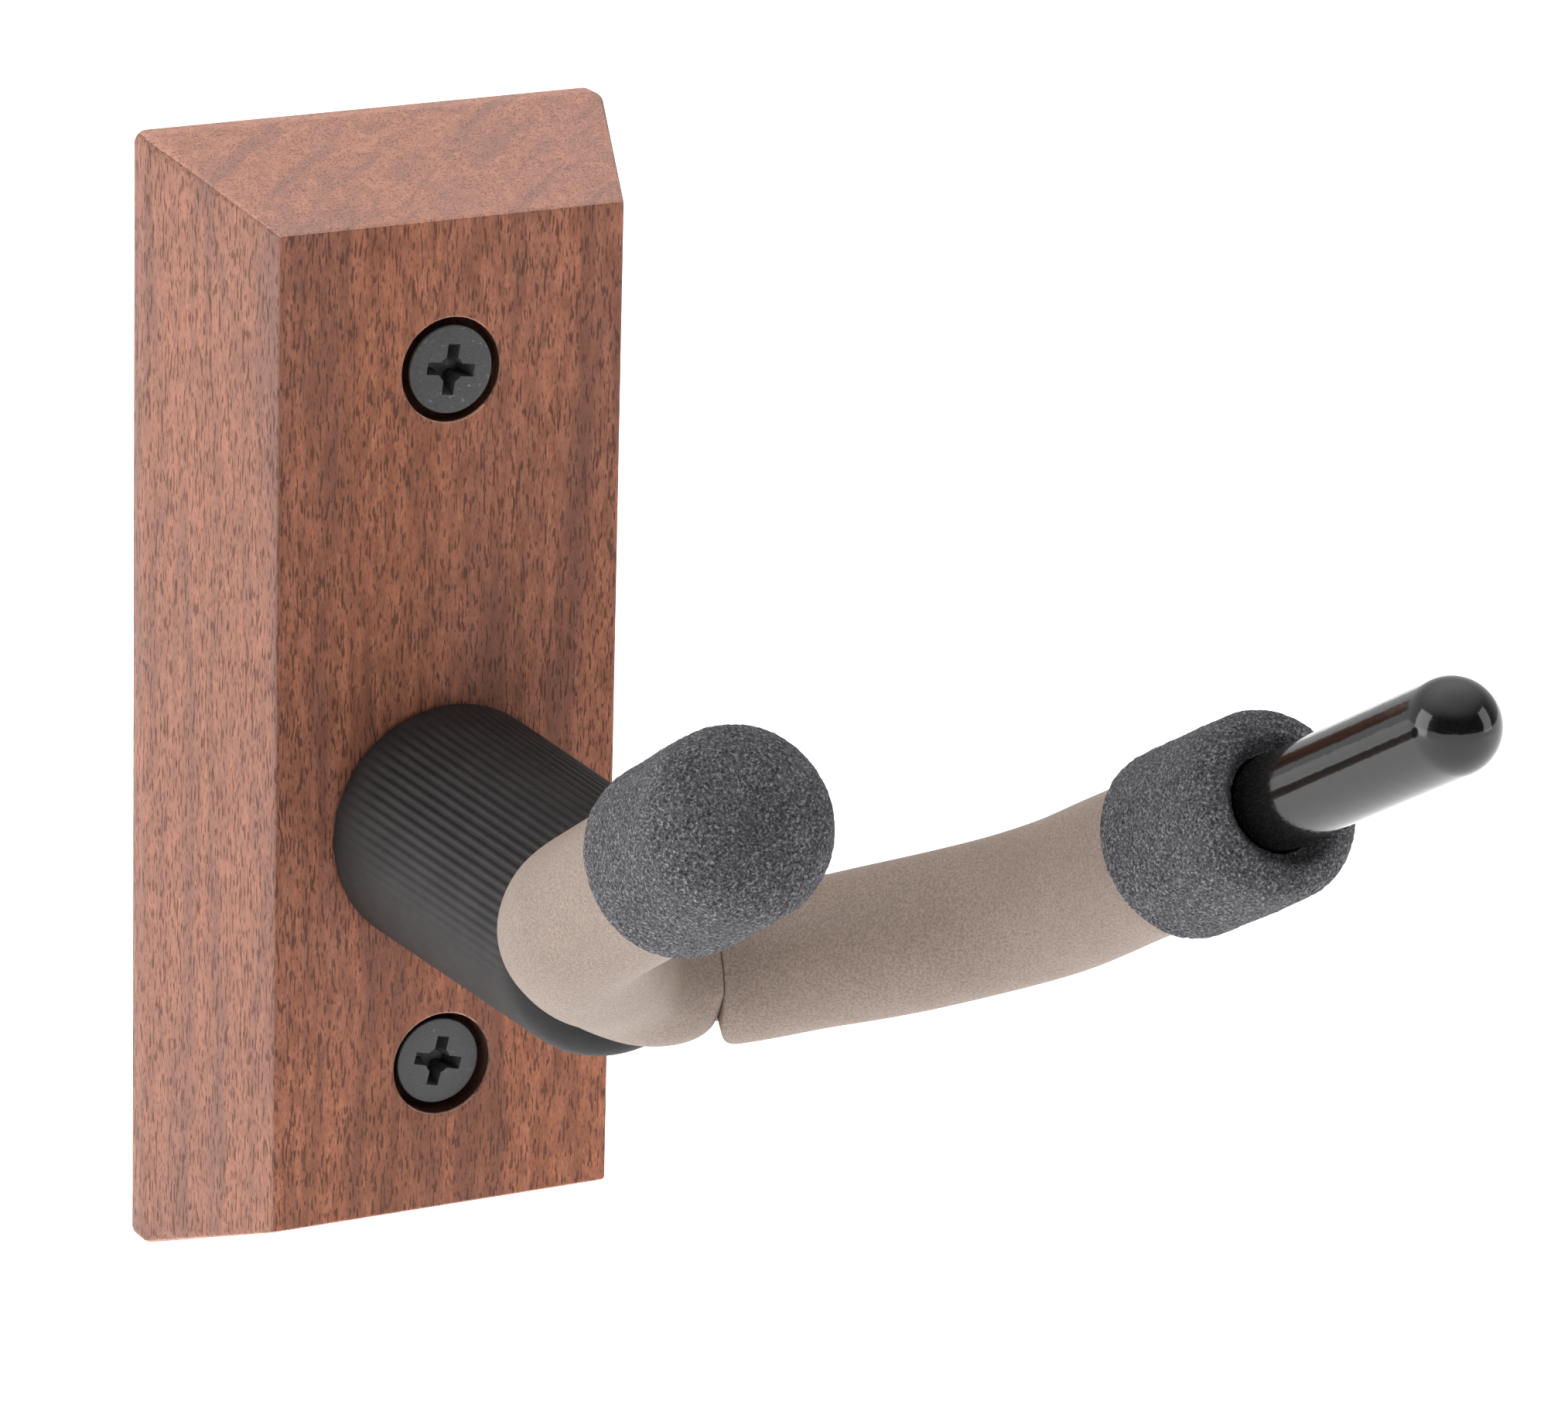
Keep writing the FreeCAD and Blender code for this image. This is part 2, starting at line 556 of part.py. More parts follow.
def draw_arm_path(sketch, side, first_turn, end_length):
    """The centre line of one half of the yoke: a bend, a shoulder, a bend and a straight end.

    It starts at the sketch's origin along the X axis.  side is 1 to the right, -1 to the left.
    """
    first, second = size("middle_bend_radius"), size("arm_bend_radius")
    start_turn = worth(first_turn)
    skipped = size("middle_bend_angle") - start_turn
    full_turn = 90 - size("arm_splay") - skipped
    turn_a, turn_b = math.radians(start_turn), math.radians(full_turn)
    normal = Vector(0, 0, 1)

    def mirrored(x, y):
        return Vector(side * x, y, 0)

    def arc(centre_x, centre_y, radius, low, high):
        if side < 0:
            low, high = math.pi - high, math.pi - low
        return Part.ArcOfCircle(Part.Circle(mirrored(centre_x, centre_y), normal, radius), low, high)

    near, far = (2, 1) if side > 0 else (1, 2)
    x1, y1 = first * math.sin(turn_a), -first * (1 - math.cos(turn_a))
    x2 = x1 + math.cos(turn_a) * size("shoulder_length")
    y2 = y1 - math.sin(turn_a) * size("shoulder_length")
    cx, cy = x2 - math.sin(turn_a) * second, y2 - math.cos(turn_a) * second
    x3, y3 = cx + math.sin(turn_b) * second, cy + math.cos(turn_b) * second
    reach = worth(end_length)
    x4, y4 = x3 + math.cos(turn_b) * reach, y3 - math.sin(turn_b) * reach

    half = math.pi / 2
    middle = sketch.addGeometry(arc(0, -first, first, half - turn_a, half))
    shoulder = sketch.addGeometry(Part.LineSegment(mirrored(x1, y1), mirrored(x2, y2)))
    bend = sketch.addGeometry(arc(cx, cy, second, half - turn_b, half - turn_a))
    end = sketch.addGeometry(Part.LineSegment(mirrored(x3, y3), mirrored(x4, y4)))

    add = sketch.addConstraint
    add(Sketcher.Constraint("Coincident", middle, near, *ORIGIN_POINT))
    add(Sketcher.Constraint("PointOnObject", middle, 3, Y_AXIS))
    add(Sketcher.Constraint("Tangent", middle, far, shoulder, 1))
    add(Sketcher.Constraint("Tangent", shoulder, 2, bend, near))
    add(Sketcher.Constraint("Tangent", bend, far, end, 1))
    for edge, name, formula in ((middle, "middleRadius", "middle_bend_radius"),
                                (bend, "bendRadius", "arm_bend_radius")):
        name_and_bind(sketch, add(Sketcher.Constraint("Radius", edge, worth(formula))), name, formula)
    for edge, name, formula in ((shoulder, "shoulderLength", "shoulder_length"),
                                (end, "endLength", end_length)):
        name_and_bind(sketch, add(Sketcher.Constraint("Distance", edge, worth(formula))), name, formula)
    # each line's slope, measured from the sketch's upright axis so that it is never negative
    for edge, name, formula, turn in (
            (shoulder, "shoulderSlope", f"90 - ({first_turn})", turn_a),
            (end, "endSlope", f"(arm_splay + middle_bend_angle - ({first_turn}))", turn_b)):
        rule = Sketcher.Constraint("Angle", Y_AXIS, 2, edge, 1, side * (math.pi / 2 - turn))
        index = add(rule)
        sign = "" if side > 0 else "-"
        name_and_bind(sketch, index, name, f"{sign}({formula}) * 1 deg")


def sweep_arm(doc, body, side, first_turn, end_length, outer, inner=None):
    """Sweep a disc or a ring along one half of the yoke."""
    before = body.Shape.Volume if body.Tip else 0
    label = f"{body.Name}_{'right' if side > 0 else 'left'}"
    path = new_sketch(body, label + "_path")
    draw_arm_path(path, side, first_turn, end_length)
    section = new_sketch(body, label + "_section", "YZ_Plane")
    draw_circle(section, outer, label="outer")
    if inner is not None:
        draw_circle(section, inner, label="inner")
    doc.recompute()
    pipe = body.newObject("PartDesign::AdditivePipe", label + "_sweep")
    pipe.Profile = section
    pipe.Spine = (path, ["Edge1", "Edge2", "Edge3", "Edge4"])
    check_change(body, before, grows=True)


def make_rod(doc):
    """The bent rod of the yoke, both halves in one piece, with rounded ends."""
    body = new_body(doc, "yoke_rod")
    sweep_arm(doc, body, 1, "middle_bend_angle", "right_arm_length", "rod_radius")
    sweep_arm(doc, body, -1, "middle_bend_angle", "left_arm_length", "rod_radius")
    names = []
    splay = math.radians(size("arm_splay"))
    for side, length in ((1, "right_arm_length"), (-1, "left_arm_length")):
        start = arm_start()
        tip = Vector(side * (start.x + math.sin(splay) * size(length)),
                     start.y - math.cos(splay) * size(length), 0)
        for number, edge in enumerate(body.Tip.Shape.Edges, start=1):
            curve = edge.Curve
            if isinstance(curve, Part.Circle) and curve.Center.distanceToPoint(tip) < IN_PLACE:
                names.append(f"Edge{number}")
    feature = body.newObject("PartDesign::Fillet", "rod_ends")
    feature.Base = (feature.BaseFeature, names)
    bind(feature, "Radius", "rod_end_radius")
    check_change(body, feature.BaseFeature.Shape.Volume, grows=False)
    body.Placement = yoke_place()
    return body


def make_sleeve(doc, name, side, start):
    """A rubber sleeve from near the yoke's middle to inside the foam, notched around the stem."""
    body = new_body(doc, name + "_tube")
    first_turn = f"(middle_bend_angle - {start} / middle_bend_radius * 180 / pi)"
    sweep_arm(doc, body, 1, first_turn, "foam_start + foam_overlap", "sleeve_outer",
              "rod_radius + sleeve_fit")
    flip = Rotation(Vector(0, 1, 0), 0 if side > 0 else 180)
    body.Placement = (yoke_place() * Placement(Vector(), flip) * along_middle_bend(size(start)))
    notch = cylinder(doc, name + "_notch", "stem_radius + sleeve_notch_clearance",
                     "sleeve_outer + stem_radius", "yoke_middle - sleeve_outer - stem_radius",
                     stem_place())
    return cut(doc, name, body, notch)


# ---------------------------------------------------------------- foam ends and peg coating

def make_foam_cap(doc):
    """The closed foam end of the left arm, slipped over the rod's end and the sleeve."""
    rod_end = "(left_arm_length - foam_start)"
    body = turned(doc, "left_foam_cap", (
        ("sleeve_outer", "0"),
        ("foam_outer", "0"),
        ("foam_outer", "cap_length"),
        ("0", "cap_length"),
        ("0", rod_end),
        ("rod_radius", rod_end),
        ("rod_radius", "foam_overlap"),
        ("sleeve_outer", "foam_overlap"),
    ))
    round_rim(body, "foam_outer", "cap_length", "cap_front_rounding")
    round_rim(body, "foam_outer", "0", "foam_rear_edge")
    body.Placement = arm_place(-1, "foam_start")
    return body


def make_foam_collar(doc):
    """The open foam collar of the right arm.  The peg comes out of its flared mouth."""
    body = turned(doc, "right_foam_collar", (
        ("sleeve_outer", "0"),
        ("foam_outer", "0"),
        ("foam_outer", "collar_length"),
        ("mouth_outer", "collar_length"),
        ("peg_outer + mouth_floor", "collar_length - mouth_depth"),
        ("rod_radius", "collar_length - mouth_depth"),
        ("rod_radius", "foam_overlap"),
        ("sleeve_outer", "foam_overlap"),
    ))
    round_rim(body, "foam_outer", "collar_length", "collar_front_edge")
    round_rim(body, "foam_outer", "0", "foam_rear_edge")
    body.Placement = arm_place(1, "foam_start")
    return body


def make_coating(doc):
    """The dipped coating of the peg, a thin sheath with a round tip."""
    start = "(foam_start + collar_length - mouth_depth)"
    tip = "(right_arm_length + coating_tip)"
    body = turned(doc, "peg_coating", (
        ("rod_radius", start),
        ("peg_outer", start),
        ("peg_outer", tip),
        ("0", tip),
        ("0", "right_arm_length"),
        ("rod_radius", "right_arm_length"),
    ))
    round_rim(body, "peg_outer", tip, "peg_outer - running_clearance")
    round_rim(body, "rod_radius", "right_arm_length", "rod_end_radius", grows=True)
    body.Placement = arm_place(1)
    return body


# ---------------------------------------------------------------- check and write

def check_document(doc, pieces):
    doc.recompute()
    for item in doc.Objects:
        if "Invalid" in item.State or "Error" in item.State:
            raise RuntimeError(f"{item.Label}: {item.State}")
    for piece in pieces:
        if piece.Shape.isNull() or not piece.Shape.isValid() or not piece.Shape.Solids:
            raise RuntimeError(f"{piece.Label}: no valid solid")


def main():
    doc = FreeCAD.newDocument("wall_hanger")
    make_sheet(doc)
    rod = make_rod(doc)
    pieces = [
        make_block(doc),
        make_screw(doc, "upper_mounting_screw", "screw_height", "upper_counterbore_depth"),
        make_screw(doc, "lower_mounting_screw", "-screw_height", "lower_counterbore_depth"),
        rod,
        make_stem(doc, rod),
        make_sleeve(doc, "left_arm_sleeve", -1, "left_sleeve_start"),
        make_sleeve(doc, "right_arm_sleeve", 1, "right_sleeve_start"),
        make_foam_cap(doc),
        make_foam_collar(doc),
        make_coating(doc),
    ]
    turned_on_stem = [*make_bearing(doc), *make_stem_hardware(doc), make_insert(doc), make_cover(doc)]
    for piece in turned_on_stem:
        piece.Placement = stem_place()
    nut = make_lock_nut(doc)
    nut.Placement = stem_place()
    pieces += [*turned_on_stem, nut]

    check_document(doc, pieces)
    os.makedirs("parts", exist_ok=True)
    for piece in pieces:
        piece.Shape.exportStep(f"parts/{piece.Label}.step")
        solids = len(piece.Shape.Solids)
        print(f"{piece.Label}: {solids} solid(s), {piece.Shape.Volume:.1f} mm3")


main()
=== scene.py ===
import json
from math import cos, exp, pi, radians, sin, sqrt

import bmesh
import bpy
from mathutils import Matrix, Vector, noise


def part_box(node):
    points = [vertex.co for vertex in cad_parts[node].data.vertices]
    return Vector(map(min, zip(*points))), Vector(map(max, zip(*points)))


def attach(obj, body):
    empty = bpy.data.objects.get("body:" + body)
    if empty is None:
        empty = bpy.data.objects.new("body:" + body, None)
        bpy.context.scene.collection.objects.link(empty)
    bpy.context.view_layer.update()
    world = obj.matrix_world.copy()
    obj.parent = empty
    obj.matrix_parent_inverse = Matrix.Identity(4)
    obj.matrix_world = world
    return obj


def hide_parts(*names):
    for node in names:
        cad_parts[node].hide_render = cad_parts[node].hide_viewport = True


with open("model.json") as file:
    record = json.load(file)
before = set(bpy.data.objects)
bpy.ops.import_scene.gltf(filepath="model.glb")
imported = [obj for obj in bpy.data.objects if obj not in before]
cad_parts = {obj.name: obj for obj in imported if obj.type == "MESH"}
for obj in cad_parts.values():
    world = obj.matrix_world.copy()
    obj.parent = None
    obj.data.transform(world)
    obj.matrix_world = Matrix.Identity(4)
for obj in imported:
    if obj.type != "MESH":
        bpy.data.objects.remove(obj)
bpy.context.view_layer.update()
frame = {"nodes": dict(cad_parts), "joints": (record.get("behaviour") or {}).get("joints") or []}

# Sizes are written as millimetres times MM, which gives metres.  The object hangs on the wall
# plane y = 0, its front faces -Y and +Z is up.  The yoke turns with the stem about an axis along Y.
MM = 0.001

BLOCK_LOW, BLOCK_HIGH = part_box("wood_block")
STEM_AXIS = Vector(frame["joints"][0]["pos_m"])

# the yoke's centre line, as the CAD source has it: a bend, a shoulder, a bend and a straight arm
YOKE_REACH = 47.9 * MM
YOKE_TILT = radians(30.7)
YOKE_TURN = radians(5.9)
MIDDLE_BEND_RADIUS = 11.9 * MM
MIDDLE_BEND_ANGLE = radians(56.4)
SHOULDER_LENGTH = 17.5 * MM
ARM_BEND_RADIUS = 24.1 * MM
ARM_SPLAY = radians(3.2)
MIDDLE_BEND_LENGTH = MIDDLE_BEND_RADIUS * MIDDLE_BEND_ANGLE
ARM_BEND_ANGLE = radians(90) - ARM_SPLAY - MIDDLE_BEND_ANGLE
ARM_BEND_LENGTH = ARM_BEND_RADIUS * ARM_BEND_ANGLE
ARM_START = MIDDLE_BEND_LENGTH + SHOULDER_LENGTH + ARM_BEND_LENGTH

# what is on the rod, as distances along it from the yoke's middle
LEFT_SLEEVE_START = -1.3 * MM
RIGHT_SLEEVE_START = 3.8 * MM
SLEEVE_BORE = 4.0 * MM
SLEEVE_RADIUS = 6.85 * MM
SLEEVE_EDGE = 0.35 * MM
FOAM_START = ARM_START + 15.9 * MM
FOAM_OVERLAP = 3.0 * MM
FOAM_RADIUS = 8.38 * MM
CAP_END = FOAM_START + 17.0 * MM
COLLAR_END = FOAM_START + 15.8 * MM
MOUTH_DEPTH = 1.5 * MM
PEG_RADIUS = 4.22 * MM
PEG_END = ARM_START + 60.5 * MM


# ---------------------------------------------------------------- paths and skins

def yoke_frame():
    middle = Vector((0, BLOCK_LOW.y - YOKE_REACH, STEM_AXIS.z))
    turn = Matrix.Rotation(YOKE_TURN, 4, "Y") @ Matrix.Rotation(-YOKE_TILT, 4, "X")
    return Matrix.Translation(middle) @ turn


YOKE = yoke_frame()


def half_line(distance):
    """Point and turned angle on the right half of the yoke's centre line, in the yoke's plane."""
    angle = min(distance, MIDDLE_BEND_LENGTH) / MIDDLE_BEND_RADIUS
    point = Vector((sin(angle), cos(angle) - 1, 0)) * MIDDLE_BEND_RADIUS
    left_over = distance - MIDDLE_BEND_LENGTH
    if left_over <= 0:
        return point, angle
    straight = min(left_over, SHOULDER_LENGTH)
    point += Vector((cos(angle), -sin(angle), 0)) * straight
    left_over -= SHOULDER_LENGTH
    if left_over <= 0:
        return point, angle
    after = angle + min(left_over, ARM_BEND_LENGTH) / ARM_BEND_RADIUS
    point += Vector((sin(after) - sin(angle), cos(after) - cos(angle), 0)) * ARM_BEND_RADIUS
    left_over = max(left_over - ARM_BEND_LENGTH, 0)
    return point + Vector((cos(after), -sin(after), 0)) * left_over, after


def yoke_path(side):
    """Place along the yoke as (point, outward, upward), for side 1 (right) or -1 (left).

    A distance below zero lies on the other half.  Outward points away from the gap.
    """
    def place(distance):
        half = side if distance >= 0 else -side
        point, angle = half_line(abs(distance))
        outward = Vector((half * sin(angle), cos(angle), 0))
        point.x *= half
        turned = YOKE.to_3x3()
        return YOKE @ point, turned @ outward, turned @ Vector((0, 0, side))

    return place


def straight_path(start, direction, across):
    """Place along a straight line as (point, across, the third direction)."""
    heading = Vector(direction).normalized()
    first = Vector(across).normalized()
    second = heading.cross(first)

    def place(distance):
        return start + heading * distance, first, second

    return place


def skin(name, path, profile, around, shape=None, lean=None):
    """A mesh of rings.  Each (distance, radius) of the profile is a ring about the path.

    A radius of zero is a single point.  shape(distance, angle, radius) may change a radius
    and lean(distance, angle, radius) moves a corner along the path.
    """
    corners, rings = [], []
    for distance, radius in profile:
        point, first, second = path(distance)
        if radius == 0:
            rings.append([len(corners)])
            corners.append(point)
            continue
        rings.append(list(range(len(corners), len(corners) + around)))
        for step in range(around):
            angle = 2 * pi * step / around
            reach = shape(distance, angle, radius) if shape else radius
            if lean:
                point, first, second = path(distance + lean(distance, angle, radius))
            corners.append(point + (first * cos(angle) + second * sin(angle)) * reach)
    faces = []
    for ring, following in zip(rings, rings[1:]):
        for step in range(around):
            after = (step + 1) % around
            if len(ring) == 1:
                faces.append((ring[0], following[after], following[step]))
            elif len(following) == 1:
                faces.append((ring[step], ring[after], following[0]))
            else:
                faces.append((ring[step], ring[after], following[after], following[step]))
    mesh = bpy.data.meshes.new(name)
    mesh.from_pydata(corners, [], faces)
    return finished(mesh, name)


def finished(mesh, name):
    """Link a mesh as an object, with its faces turned outwards and shaded smooth."""
    edit = bmesh.new()
    edit.from_mesh(mesh)
    bmesh.ops.recalc_face_normals(edit, faces=edit.faces)
    edit.to_mesh(mesh)
    edit.free()
    mesh.shade_smooth()
    piece = bpy.data.objects.new(name, mesh)
    bpy.context.scene.collection.objects.link(piece)
    return piece


def steps(start, end, count):
    """Evenly spaced numbers from start to end, both included."""
    return [start + (end - start) * step / count for step in range(count + 1)]


def arc_points(centre, radius, start, end, count):
    """Points (distance, radius) on an arc of a profile.  An angle of 0 points along the path."""
    return [(centre[0] + radius * cos(angle), centre[1] + radius * sin(angle))
            for angle in steps(start, end, count)]


def apply_modifiers(piece):
    """Replace a piece's mesh by what its modifiers make of it."""
    evaluated = piece.evaluated_get(bpy.context.evaluated_depsgraph_get())
    mesh = bpy.data.meshes.new_from_object(evaluated)
    piece.modifiers.clear()
    piece.data = mesh


def stands_for(piece, body, slot, material, *nodes):
    """Let a piece ride on a body in place of CAD nodes, with a material."""
    piece.data.materials.clear()
    piece.data.materials.append(material)
    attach(piece, body)
    if nodes:
        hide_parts(*nodes)


# ---------------------------------------------------------------- materials

class Finish:
    """A material whose texture coordinates are millimetres in the object's own frame."""

    def __init__(self, name, **sockets):
        self.material = bpy.data.materials.new(name)
        self.material.use_nodes = True
        self.nodes = self.material.node_tree.nodes
        self.links = self.material.node_tree.links
        self.surface = self.nodes["Principled BSDF"]
        for socket, value in sockets.items():
            self.surface.inputs[socket.replace("_", " ")].default_value = value
        self.place = self.stretched((1, 1, 1))

    def add(self, kind, **settings):
        node = self.nodes.new("ShaderNode" + kind)
        for setting, value in settings.items():
            setattr(node, setting, value)
        return node

    def fill(self, node, values):
        """Set or link a node's inputs, by name or number."""
        for socket, value in values.items():
            if isinstance(value, bpy.types.NodeSocket):
                self.links.new(value, node.inputs[socket])
            else:
                node.inputs[socket].default_value = value
        return node

    def stretched(self, scale, turn=(0, 0, 0)):
        """The object's coordinates in millimetres, scaled along each axis after a turn."""
        source = self.add("TexCoord").outputs["Object"]
        if any(turn):
            rotated = self.add("Mapping", vector_type="POINT")
            self.fill(rotated, {"Vector": source, "Rotation": turn})
            source = rotated.outputs["Vector"]
        mapped = self.add("Mapping", vector_type="POINT")
        self.fill(mapped, {"Vector": source, "Scale": tuple(part / MM for part in scale)})
        return mapped.outputs["Vector"]

    def noise(self, scale, detail=2.0, roughness=0.5, place=None, distortion=0.0):
        """Noise from 0 to 1 with about `scale` grains a millimetre."""
        node = self.fill(self.add("TexNoise"), {
            "Vector": place or self.place, "Scale": scale, "Detail": detail,
            "Roughness": roughness, "Distortion": distortion})
        return node.outputs["Fac"]

    def cells(self, scale, place=None):
        """Distance to the nearest of scattered points, for specks and grains."""
        node = self.fill(self.add("TexVoronoi"), {"Vector": place or self.place, "Scale": scale})
        return node.outputs["Distance"]

    def ramp(self, value, low, high, bottom=0.0, top=1.0):
        """A smooth step from bottom to top as the value goes from low to high."""
        node = self.add("MapRange", interpolation_type="SMOOTHSTEP")
        self.fill(node, {"Value": value, "From Min": low, "From Max": high,
                         "To Min": bottom, "To Max": top})
        return node.outputs["Result"]

    def mix(self, factor, first, second):
        """A colour between two, by a factor from 0 to 1."""
        node = self.add("Mix", data_type="RGBA")
        self.fill(node, {0: factor, 6: first, 7: second})
        return node.outputs[2]

    def colour(self, value):
        self.fill(self.surface, {"Base Color": value})

    def roughness(self, value, low, high):
        self.fill(self.surface, {"Roughness": self.ramp(value, 0.2, 0.8, low, high)})

    def bump(self, *layers):
        """Stack bumps of (height, depth in millimetres)."""
        normal = None
        for height, depth in layers:
            node = self.add("Bump")
            self.fill(node, {"Height": height, "Distance": depth * MM, "Strength": 1.0})
            if normal:
                self.fill(node, {"Normal": normal})
            normal = node.outputs["Normal"]
        self.fill(self.surface, {"Normal": normal})


def rgb(red, green, blue):
    return (red, green, blue, 1.0)


# each kind of face on the block has its own finish: a painted lightness, which paints light and shade by how
# the face is turned (sides darker, end-grain top and bottom lighter, screw bores near black), sanding dust
# (on the end grain it also paints a pale highlight), the scale of the pores along the grain (a smaller one
# draws them out longer) and their strength
WALNUT_FINISHES = {
    "walnut": (1.0, 0.0, 0.17, 1.0),
    "walnut_sanded_edge": (1.25, 0.22, 0.17, 0.6),
    "walnut_side_painted_shade": (0.80, 0.16, 0.15, 0.8),
    "walnut_end_grain_painted_light": (1.65, 0.38, 0.8, 0.4),
    # painted shade: the walls of the screw holes and head pockets are painted near black
    "walnut_bore_painted_shade": (0.22, 0.0, 0.17, 1.0),
}


def make_walnut(name):
    """Open-grained reddish hardwood: soft streaks, growth bands and short dark pores along Z.

    Dust is how much pale sanding haze lies on the face; on the end grain it is also a painted pale
    highlight.  The painted lightness scales every colour, which paints a face lighter where it is lit and
    darker where it is shaded.
    """
    painted_lightness, dust, pore_scale, pore_strength = WALNUT_FINISHES[name]
    wood = Finish(name, Roughness=0.6, Specular_IOR_Level=0.15)
    ring_turn = (0, 0, radians(52))
    wander = wood.noise(0.05, 2.0, place=wood.stretched((1, 1, 0.25)))
    bands = wood.noise(0.36, 4.0, 0.6, wood.stretched((1, 0.25, 0.05), ring_turn), 1.0)
    streaks = wood.noise(0.9, 3.0, 0.6, wood.stretched((1, 0.6, 0.05), ring_turn), 0.3)
    fibre = wood.noise(6.0, 3.0, 0.65, wood.stretched((1, 1, 0.16)))
    mottle = wood.noise(0.9, 4.0, 0.65, wood.stretched((1, 1, 0.3)))
    pores = wood.noise(4.6, 1.0, 0.4, wood.stretched((1, 1, pore_scale)))
    fine_pores = wood.noise(7.5, 1.0, 0.4, wood.stretched((1, 1, 1.3 * pore_scale)))
    specks = wood.cells(1.6)

    # painted light and shade: each colour is scaled by the face's painted lightness
    def tint(red, green, blue):
        return rgb(red * painted_lightness, green * painted_lightness, blue * painted_lightness)

    base = wood.mix(wood.ramp(wander, 0.35, 0.65), tint(0.385, 0.135, 0.068), tint(0.345, 0.143, 0.100))
    warm = wood.mix(wood.ramp(streaks, 0.3, 0.75), base, tint(0.47, 0.185, 0.108))
    banded = wood.mix(wood.ramp(bands, 0.46, 0.66, 0.0, 0.7), warm, tint(0.165, 0.072, 0.052))
    mottled = wood.mix(wood.ramp(mottle, 0.38, 0.66, 0.0, 0.62), banded, tint(0.19, 0.072, 0.042))
    fibred = wood.mix(wood.ramp(fibre, 0.35, 0.75, 0.0, 0.5), mottled, tint(0.17, 0.075, 0.052))
    # sanding haze; on the end grain its larger amount also paints a pale pinkish highlight
    hazed_and_lit = wood.mix(dust, fibred, rgb(0.56, 0.40, 0.36))
    pore_shade = wood.ramp(pores, 0.58, 0.65, 0.0, 0.75 * pore_strength)
    pored = wood.mix(pore_shade, hazed_and_lit, tint(0.085, 0.036, 0.026))
    fine_shade = wood.ramp(fine_pores, 0.58, 0.68, 0.0, 0.5 * pore_strength)
    pored = wood.mix(fine_shade, pored, tint(0.10, 0.044, 0.032))
    wood.colour(wood.mix(wood.ramp(specks, 0.02, 0.07, 0.5, 0.0), pored, tint(0.62, 0.44, 0.36)))
    wood.roughness(streaks, 0.5, 0.66)
    wood.bump((wood.ramp(pores, 0.575, 0.67, 1.0, 0.0), 0.04),
              (wood.ramp(fine_pores, 0.58, 0.68, 1.0, 0.0), 0.025), (fibre, 0.03))
    return wood.material


def make_black_screw():
    """Black phosphate steel with pale scuffs."""
    steel = Finish("black_phosphate_steel", Metallic=0.25, Roughness=0.5, Specular_IOR_Level=0.5)
    grain = steel.noise(9.0, 3.0, 0.7)
    scuffs = steel.noise(1.6, 4.0, 0.7)
    base = steel.mix(steel.ramp(grain, 0.3, 0.7), rgb(0.035, 0.035, 0.037), rgb(0.075, 0.075, 0.078))
    steel.colour(steel.mix(steel.ramp(scuffs, 0.6, 0.74, 0.0, 0.6), base, rgb(0.28, 0.28, 0.28)))
    steel.roughness(grain, 0.42, 0.62)
    steel.bump((grain, 0.012))
    return steel.material


def make_black_steel():
    """Powder-coated steel."""
    steel = Finish("black_coated_steel", Roughness=0.45)
    orange_peel = steel.noise(2.2, 2.0)
    dust = steel.noise(0.5, 4.0, 0.7)
    steel.colour(steel.mix(steel.ramp(dust, 0.45, 0.8), rgb(0.012, 0.012, 0.013), rgb(0.03, 0.03, 0.031)))
    steel.roughness(dust, 0.36, 0.5)
    steel.bump((orange_peel, 0.02))
    return steel.material


def make_zinc_steel():
    """Zinc-plated steel with fine turning marks and dull patches."""
    steel = Finish("zinc_plated_steel", Metallic=1.0, Roughness=0.3)
    patches = steel.noise(0.6, 4.0, 0.65)
    marks = steel.noise(6.0, 2.0, 0.6)
    steel.colour(steel.mix(steel.ramp(patches, 0.3, 0.7), rgb(0.36, 0.37, 0.38), rgb(0.50, 0.50, 0.49)))
    steel.roughness(patches, 0.24, 0.44)
    steel.bump((marks, 0.01))
    return steel.material


def make_nylon():
    """White nylon with faint mould haze."""
    nylon = Finish("white_nylon", Roughness=0.4, Subsurface_Weight=0.15, Subsurface_Scale=1.0 * MM)
    haze = nylon.noise(0.8, 3.0)
    nylon.colour(nylon.mix(nylon.ramp(haze, 0.3, 0.7), rgb(0.72, 0.71, 0.66), rgb(0.82, 0.81, 0.77)))
    nylon.roughness(haze, 0.34, 0.5)
    nylon.bump((nylon.noise(3.0), 0.01))
    return nylon.material


def make_black_rubber():
    """Matte moulded rubber with a fine dusty grain."""
    rubber = Finish("black_moulded_rubber", Roughness=0.62, Specular_IOR_Level=0.25)
    grain = rubber.noise(7.0, 3.0, 0.7)
    patches = rubber.noise(0.25, 3.0, 0.6)
    dust = rubber.cells(1.1)
    base = rubber.mix(rubber.ramp(patches, 0.35, 0.7), rgb(0.011, 0.010, 0.010), rgb(0.018, 0.016, 0.0165))
    base = rubber.mix(rubber.ramp(grain, 0.35, 0.75, 0.0, 0.5), base, rgb(0.038, 0.035, 0.036))
    rubber.colour(rubber.mix(rubber.ramp(dust, 0.025, 0.06, 0.35, 0.0), base, rgb(0.25, 0.25, 0.26)))
    rubber.roughness(grain, 0.5, 0.72)
    rubber.bump((grain, 0.02))
    return rubber.material


